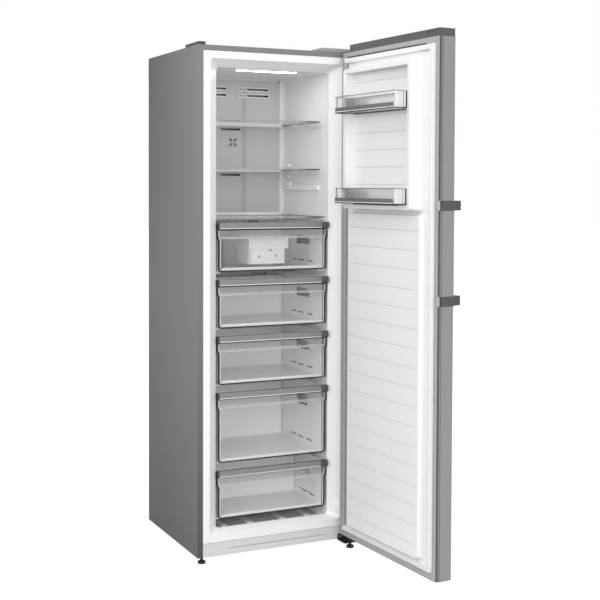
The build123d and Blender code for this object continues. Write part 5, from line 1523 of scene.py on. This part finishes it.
@dataclass
class IceParts:
    """The ice bin and the twist ice maker in the top drawer.

    The cups' starts are a first place and a pitch, across and in depth; the knobs are points across and up.
    """

    body: str = "drawer_1"
    bin_rim: float = 1097.5
    clear_below: float = 1002.0
    front_groove: Box = ((216.2, 370.8), (65.2, 66.4), (1055.6, 1058.2))
    cup_starts: Points = ((226.0, 28.5), (76.0, 56.0))
    cup_size: tuple[float, float] = (22.0, 48.0)
    cup_height: Span = (1060.5, 1062.5)
    lines: tuple[Box, ...] = (
        ((219.0, 355.0), (69.2, 70.2), (1055.4, 1058.2)),
        ((219.5, 221.0), (69.2, 70.2), (1004.0, 1055.0)),
        ((226.0, 227.2), (69.2, 70.2), (1004.0, 1055.0)),
        ((219.0, 368.0), (65.2, 66.2), (1100.6, 1102.6)),
    )
    knobs: Points = ((258.0, 1029.0), (301.0, 1050.0), (323.0, 1030.0))

    def build(self) -> None:
        """Makes the bin with a painted-highlight rim, the maker, and the painted shade of the maker's lines and
        knobs.
        """
        box = eased("ice_bin", 0.6, body=self.body)
        box.paint(1, lambda at, normal: at.z > self.bin_rim)
        box.piece("ice_box", [Look.CLEAR, Look.CLEAR_HIGHLIGHT], "clear_plastic", ["ice_bin"])
        maker = eased("ice_maker", 1.2, body=self.body)
        maker.block(*self.front_groove, SMALL_EASE)
        (x, across), (y, back) = self.cup_starts
        for row, column in product(range(2), range(5)):
            corner = (x + column * across, y + row * back)
            cup = [(start, start + size) for start, size in zip(corner, self.cup_size)]
            maker.block(cup[0], cup[1], self.cup_height, 0.9)
        maker.cut(2, self.clear_below)
        maker.paint(1, lambda at, normal: at.z < self.clear_below)
        maker.piece("ice_tray", [Look.ICE_WHITE, Look.CLEAR], "white_trim", ["ice_maker"])
        # Painted shade: grey lines and knobs on the white maker.
        shades = Shape(CABINET, self.body)
        for line in self.lines:
            shades.block(*line, HAIR_EASE)
        for x, z in self.knobs:
            shades.rod(4.4, 1, (x, 69.8, z), 1.2, segments=20)
        shades.piece("ice_shades", [Look.GRIP], "white_trim")


@dataclass
class DoorLeaf:
    """The door's liner, caps, gasket and hem lines. It is drawn closed.

    The grooves are rows of levels: a start, a pitch and a count. The head shade line, a painted shade along the
    seal's top, is given across and in height.
    Each band of the seal has its inset, its width, its seat above the flange, its height and its easing.
    """

    inner: float = -12.0
    foot: float = 23.0
    top: float = 1755.0
    width: float = 595.0
    gasket_inset: float = 25.0
    gasket_width: float = 20.0
    seal_bands: tuple[Floats, ...] = (
        (0.0, 20.0, 0.0, 2.6, 0.6), (3.4, 12.5, 2.0, 5.4, 0.9), (1.2, 16.4, 6.6, 5.0, 1.7)
    )
    hem: Span = (-18.0, -13.2)
    groove_x: Span = (71.0, 524.0)
    upper_grooves: Row = (1286.0, 58.3, 7)
    lower_grooves: Row = (1137.0, -63.4, 17)
    upper_floor: float = 5.0
    lower_face: float = 8.0
    head_shade_line: tuple[Span, Span] = ((75.0, 560.0), (1731.0, 1736.0))

    def build(self) -> None:
        """Makes the door's pieces."""
        liner = eased("door_liner", 1.6, 3, DOOR, "door")
        # Painted shade: faces in the level grooves take the darker line grey.
        liner.paint(1, self.in_a_groove)
        liner.piece("door_inner", [Look.LINER, Look.LINER_SHADE_LINE], "liner", ["door_liner"])
        self.gasket()
        cap = eased("door_top_cap", 0.9, 2, DOOR, "door")
        cap.paint(1, lambda at, normal: at.y > self.inner - 0.5 and at.z < self.top - 0.5)
        cap.piece("door_head", [Look.GREY_TRIM, Look.CAP_SILVER], "grey_trim", ["door_top_cap"])
        plain_copy("door_bottom_cap", "door_sill", Look.GREY_TRIM, "grey_trim", 0.6, 2, DOOR, "door")
        skin = eased("door_skin", 0.4, 2, DOOR, "door")
        skin.paint(1, lambda at, normal: at.y > self.inner - 1.0)
        for depth in self.hem:
            skin.cut(1, depth)
        skin.paint(2, lambda at, normal: within(at.y, self.hem) and abs(normal.y) < 0.5)
        # Painted shade: a dark strip along the top of the seal.
        head = Shape(DOOR, "door")
        head.block(self.head_shade_line[0], (self.inner - 0.2, self.inner + 0.7), self.head_shade_line[1], HAIR_EASE)
        head.piece("door_head_shade_line", [Look.PAINTED_SHADE_LINE], "gasket")
        skin.piece("door_case", [Look.DOOR_STEEL, Look.FLANGE_GREY_AND_SHADE, Look.SEAM_GREY], "steel", ["door_skin"])

    def in_a_groove(self, at: Vector, normal: Vector) -> bool:
        """Whether a face of the liner is in one of its level grooves."""
        for (start, pitch, count), face in (
            (self.upper_grooves, self.upper_floor), (self.lower_grooves, self.lower_face)
        ):
            number = round((at.z - start) / pitch)
            if 0 <= number < count and abs(at.z - start - number * pitch) < 2.4 and at.y < face - 0.1:
                return within(at.x, self.groove_x) and at.y > face - 4.0
        return False

    def gasket(self) -> None:
        """The magnetic seal: a broad foot, a slimmer bellows and a rounded face, all the way round, with painted
        shade along its hinge-side run.
        """
        shape = Shape(DOOR, "door")
        for inset, width, seat, height, ease in self.seal_bands:
            self.ring(shape, inset, width, self.inner + seat, height, ease)
        shaded_hinge_run = self.width - self.gasket_inset - self.gasket_width - 0.5
        # Painted shade: the seal's run on the hinge side takes the flange grey.
        shape.paint(1, lambda at, normal: at.x > shaded_hinge_run and at.z < self.top - 2 * self.gasket_width)
        shape.piece("seal", [Look.GASKET, Look.FLANGE_GREY_AND_SHADE], "gasket", ["door_gasket"], 50.0)

    def ring(self, shape: Shape, inset: float, width: float, seat: float, height: float, ease: float) -> None:
        """Adds one closed band of the seal.

        Args:
            shape: the shape to add to.
            inset: how far inside the seal's outer edge it starts.
            width: how wide the band is.
            seat: the y that it stands on.
            height: how high it stands.
            ease: the width of its eased edges.
        """
        x = drawn_in((self.gasket_inset, self.width - self.gasket_inset), inset)
        z = drawn_in((self.foot + self.gasket_inset, self.top - self.gasket_inset), inset)
        verts = [shape.bm.verts.new((across, seat, up)) for across, up in product(x, z)]
        face = shape.bm.faces.new([verts[0], verts[1], verts[3], verts[2]])
        face.normal_update()
        if face.normal.y < 0:
            bmesh.ops.reverse_faces(shape.bm, faces=[face])
        rise, flat = height - ease, width - 2 * ease
        for thickness, depth in ((0.01, rise), (ease, ease), (flat, 0.0), (ease, -ease), (0.01, -rise)):
            bmesh.ops.inset_region(
                shape.bm, faces=[face], thickness=thickness, depth=depth, use_boundary=True,
                use_even_offset=True,
            )
        bmesh.ops.delete(shape.bm, geom=[face], context="FACES_ONLY")
        bmesh.ops.bridge_loops(shape.bm, edges=[edge for edge in shape.bm.edges if edge.is_boundary])


@dataclass
class DoorBins:
    """Two clear door bins with their trims and sliding clips. They are drawn with the door closed.

    Each place has its name, its underside and its height; rounds are the corners that are rounded and their
    radius; the rib is given across and in depth. Each strip of the front has its name, its finish, how far
    it stands out and its height above the underside.
    """

    span: Span = (107.3, 487.7)
    depth: Span = (5.0, 86.0)
    places: tuple[tuple[str, float, float], ...] = (("upper", 1529.333, 56.0), ("lower", 1221.0, 52.0))
    rounds: tuple[tuple[int, float], ...] = ((2, 10.0), (3, 10.0))
    rib: tuple[Span, Span] = ((159.0, 434.0), (34.0, 39.0))
    side_lines: tuple[Span, ...] = ((38.5, 44.0), (51.4, 53.0))
    end_slack: float = 10.0
    strips: tuple[tuple[str, Look, float, Span], ...] = (
        ("band", Look.SMOKE_BAND, 0.05, (6.0, 19.0)), ("line", Look.HIGHLIGHT_WHITE, 0.1, (3.4, 5.6))
    )

    def build(self) -> None:
        """Makes both bins and their clips."""
        for place, low, height in self.places:
            self.bin(place, low, height)
            self.clip(place)

    def bin(self, place: str, low: float, height: float) -> None:
        """One bin: the clear box with painted highlights on its rim and near end faces, its dark edges, the smoked
        band and a painted-highlight line.
        """
        node = f"bin_{place}"
        shape = eased(node, 0.8, 2, DOOR, "door")
        top = low + height
        near = self.span[0] + 3.0
        shape.paint(1, lambda at, normal: at.z > top - 1.0 or (at.x < near and abs(normal.x) > FACING))
        shape.piece(f"door_bin_{place}", [Look.BIN, Look.CLEAR_HIGHLIGHT], "clear_plastic", [node])
        across, face = drawn_in(self.span, self.end_slack), self.depth[1]
        for name, look, out, (start, end) in self.strips:
            strip = Shape(DOOR, "door")
            strip.block(across, (face - 2.2, face + out), (low + start, low + end), HAIR_EASE)
            strip.piece(f"bin_{name}_{place}", [look], "clear_plastic")
        self.edges(place, low, top)

    def edges(self, place: str, low: float, top: float) -> None:
        """One bin's dark edges: the rim, the foot, the upright lines and the rib underneath.

        Args:
            place: which bin.
            low: its underside.
            top: its rim.
        """
        x, y = drawn_in(self.span, -0.1), drawn_in(self.depth, -0.1)
        outline = [(x[0], y[0] + 1.0), (x[1], y[0] + 1.0), (x[1], y[1]), (x[0], y[1])]
        upright = (low + 2.0, top - 1.0)
        rim, foot = Shape(DOOR, "door"), Shape(DOOR, "door")
        rim.band(outline, 2, (top - 1.8, top + 0.05), 2.4, dict(self.rounds))
        rim.block((x[1] - 2.2, x[1]), (y[1] - 14.0, y[1] - 11.0), upright, 0.3)
        rim.block(self.rib[0], self.rib[1], (low - 4.5, low - 0.2), 0.8)
        rim.piece(f"bin_rim_{place}", [Look.BIN_EDGE], "clear_plastic")
        foot.band(outline, 2, (low - 0.1, low + 3.0), 2.6, dict(self.rounds))
        for line in self.side_lines:
            foot.block((x[0], x[0] + 0.6), line, upright, HAIR_EASE)
        foot.piece(f"bin_foot_{place}", [Look.DARK_LINE_AND_SHADE], "clear_plastic")

    def clip(self, place: str) -> None:
        """The sliding clip that holds bottles upright, with painted shade on its top and bottom faces."""
        node = f"bin_divider_{place}"
        shape = eased(node, 0.4, 2, DOOR, node)
        shape.paint(1, lambda at, normal: abs(normal.z) > FACING)
        shape.piece(f"bin_clip_{place}", [Look.CLEAR, Look.TUB_SHADE], "clear_plastic", [node])


@dataclass
class DoorHandle:
    """The flat bar on its two wrap-round brackets. It is drawn with the door closed."""

    lows: Floats = (901.0, 1204.0)
    height: float = 31.0
    inner: float = -12.0
    seam: Span = (-19.0, -15.0)
    cap_x: Span = (-2.3, 8.0)

    def build(self) -> None:
        """Makes the brackets, their end caps and the bar, with painted shade on the bar's side towards the door.
        """
        brackets = eased("handle_brackets", 1.4, 3, DOOR, "door")
        back, front = self.seam
        brackets.cut(1, front)
        brackets.cut(1, back)
        brackets.paint(1, lambda at, normal: at.y > front)
        brackets.paint(2, lambda at, normal: back < at.y < front)
        looks = [Look.BRACKET, Look.CAP_SILVER, Look.DARK_LINE_AND_SHADE]
        brackets.piece("brackets", looks, "bracket_metal", ["handle_brackets"])
        caps = Shape(DOOR, "door")
        for low in self.lows:
            clamp = drawn_in((low, low + self.height), 1.0)
            caps.rounded_block(self.cap_x, (self.inner - 1.0, self.inner + 4.2), clamp, 1, 3.0, 1.2)
        caps.piece("bracket_caps", [Look.CAP_SILVER], "bracket_metal")
        bar = eased("handle_bar", 1.6, 3, DOOR, "door")
        # Painted shade on the bar's side towards the door.
        bar.paint(1, lambda at, normal: normal.y > 0.7)
        bar.piece("grip_bar", [Look.HANDLE, Look.DARK_LINE_AND_SHADE], "handle_metal", ["handle_bar"])


@dataclass
class HingesAndFeet:
    """Hinges, screws, feet and rollers.

    Each foot has its place and the top of its stem. The disc and the thread are profiles of radius and
    height. The rear screws stand at every pair of the places across and the levels. The socket's steps are
    how far its ring is drawn in and raised.
    """

    ground: float = -24.0
    foot_places: tuple[tuple[float, float, float], ...] = ((22.0, 20.0, 12.0), (571.0, -40.0, -3.0))
    foot_height: float = 9.0
    disc: Points = (
        (0.0, 0.0), (12.4, 0.0), (13.5, 1.2), (13.5, 7.6), (12.2, 9.0), (5.2, 9.0), (5.2, 9.6), (0.0, 9.6)
    )
    thread: Points = ((0.0, 0.0), (4.2, 0.0), (5.0, 0.9), (4.2, 1.8), (0.0, 1.8))
    thread_pitch: float = 1.8
    disc_ribs: int = 16
    hinge_screws: Points = ((508.0, 24.0), (508.0, 82.0), (571.0, 82.0))
    hinge_face: float = 1761.0
    front_screws: Floats = (549.5, 580.5)
    rear_screws: tuple[Floats, ...] = ((11.5, 583.5), (15.0, 229.7))
    head_radius: float = 4.5
    head_height: float = 2.0
    socket_steps: Points = ((0.9, 0.3), (1.7, 0.0), (0.15, -1.2))

    def build(self) -> None:
        """Makes the metal fittings."""
        plain_copy("top_hinge", "top_hinge_plate", Look.ZINC, "zinc_sheet", 0.5)
        plain_copy("bottom_hinge", "bottom_hinge_plate", Look.BLACK_AND_SHADE, "zinc_sheet", 0.6)
        self.feet()
        self.screws()
        for side in ("left", "right"):
            node = f"rear_roller_{side}"
            plain_copy(node, f"roller_{side}", Look.DARK_TRIM, "dark_trim", 1.2, 2, CABINET, node)

    def feet(self) -> None:
        """The front feet: a ribbed disc and a threaded stem."""
        shape = Shape()
        for x, y, top in self.foot_places:
            shape.spun(self.disc, (x, y, self.ground))
            level = self.ground + self.foot_height
            while level + 2.0 <= top:
                shape.spun(self.thread, (x, y, level))
                level += self.thread_pitch
            for index in range(self.disc_ribs):
                turn = 2 * pi * index / self.disc_ribs
                rib = (x + 12.9 * cos(turn), y + 12.9 * sin(turn), self.ground + 4.4)
                shape.rod(0.9, 2, rib, 5.4, segments=8)
        shape.piece("levelling_feet", [Look.BLACK_AND_SHADE], "dark_trim", ["front_feet"])

    def screws(self) -> None:
        """The screws, each with a domed head and a hexagon socket."""
        shape = Shape()
        for x, y in self.hinge_screws:
            self.screw(shape, Vector((x, y, self.hinge_face)), 2)
        for x in self.front_screws:
            self.screw(shape, Vector((x, -3.0, 9.5)), 1, -1.0)
        for x, z in product(*self.rear_screws):
            self.screw(shape, Vector((x, 525.0, z)), 1)
        shape.piece("screws", [Look.SCREW], "screw_steel", ["cabinet_screws"])

    def screw(self, shape: Shape, seat: Vector, axis: int, way: float = 1.0) -> None:
        """One screw.

        Args:
            shape: the shape to add to.
            seat: the middle of the head's underside.
            axis: the axis that it stands along.
            way: +1 or -1, the way that its head faces.
        """
        out = unit(axis) * way
        verts = shape.rod(self.head_radius, axis, seat + out * (self.head_height / 2), self.head_height)
        top = [face for face in {f for v in verts for f in v.link_faces} if face.normal.dot(out) > 0.9]
        for thickness, depth in self.socket_steps:
            bmesh.ops.inset_region(shape.bm, faces=top, thickness=thickness, depth=depth)
        shape.rod(2.0, axis, seat - out * 1.2, 2.2, segments=16)


@dataclass
class MachineRoom:
    """What shows at the back: cover, inlet, compressor and tray."""

    pins: Floats = (513.0, 520.0, 527.0)
    pin_depth: Span = (513.2, 525.3)
    pin_height: Span = (192.0, 208.0)
    terminal_box: Box = ((208.0, 232.0), (404.0, 434.0), (60.0, 100.0))

    def build(self) -> None:
        """Makes the rear cover, the inlet with its pins, the compressor and the tray."""
        plain_copy("machine_cover", "rear_cover", Look.DARK_TRIM, "dark_trim", 0.35)
        inlet = eased("power_inlet", 0.5)
        inlet.paint(1, self.on_a_pin)
        inlet.piece("inlet", [Look.BLACK_AND_SHADE, Look.SCREW], "dark_trim", ["power_inlet"])
        can = eased("compressor", 0.8)
        can.rounded_block(*self.terminal_box, 0, 4.0, 1.5)
        can.piece("compressor_can", [Look.COMPRESSOR], "compressor_paint", ["compressor"])
        plain_copy("drip_tray", "evaporation_tray", Look.DARK_TRIM, "dark_trim", 0.8)

    def on_a_pin(self, at: Vector, normal: Vector) -> bool:
        """Whether a face of the inlet is on one of its pins."""
        beside = any(abs(at.x - x) < 1.3 for x in self.pins)
        (front, back), (low, high) = self.pin_depth, self.pin_height
        return beside and front < at.y < back and low < at.z < high


def dress(node: bpy.types.Object, look: Look) -> None:
    """Gives a CAD node its finish.

    Args:
        node: the node's object.
        look: the finish.
    """
    if node.material_slots:
        for slot in node.material_slots:
            slot.material = look.material()
    else:
        node.data.materials.append(look.material())


def dress_nodes() -> None:
    """Gives every CAD node that still shows the finish of its material slot."""
    slots = {entry["node"]: entry["material_slot"] for entry in frame["record"]["subparts"]}
    for name, node in frame["nodes"].items():
        dress(node, NODE_LOOKS[slots[name]])
        LOG.info("%s dressed as %s", name, slots[name])


DRAWERS = (
    Drawer(1, 980.0, 1151.0, 398.0),
    Drawer(2, 783.0, 954.0, 398.0),
    Drawer(3, 586.0, 757.0, 398.0),
    Drawer(4, 313.0, 560.0, 398.0, notches=((-89.0, -61.0), (-102.0, -92.0)), notch_reach=(173.0, 254.0)),
    Drawer(
        5, 116.0, 287.0, 280.0, dash_level=19.0, dash_runs=((114.0, 146.0), (177.0, 210.0)),
        # Drawer 5's hand slots take a painted highlight in place of painted shade.
        notch_look=Look.TUB_GLEAM,
    ),
)


def main() -> None:
    """Builds the studio and every sub-assembly, in order."""
    logging.basicConfig(level=logging.INFO, format="%(name)s: %(message)s")
    Studio().build()
    dress_nodes()
    inside = (CabinetShell(), AirDuct(), GlassShelves(), *DRAWERS, IceParts())
    for assembly in (*inside, DoorLeaf(), DoorBins(), DoorHandle(), HingesAndFeet(), MachineRoom()):
        assembly.build()


if __name__ == "__main__":
    main()
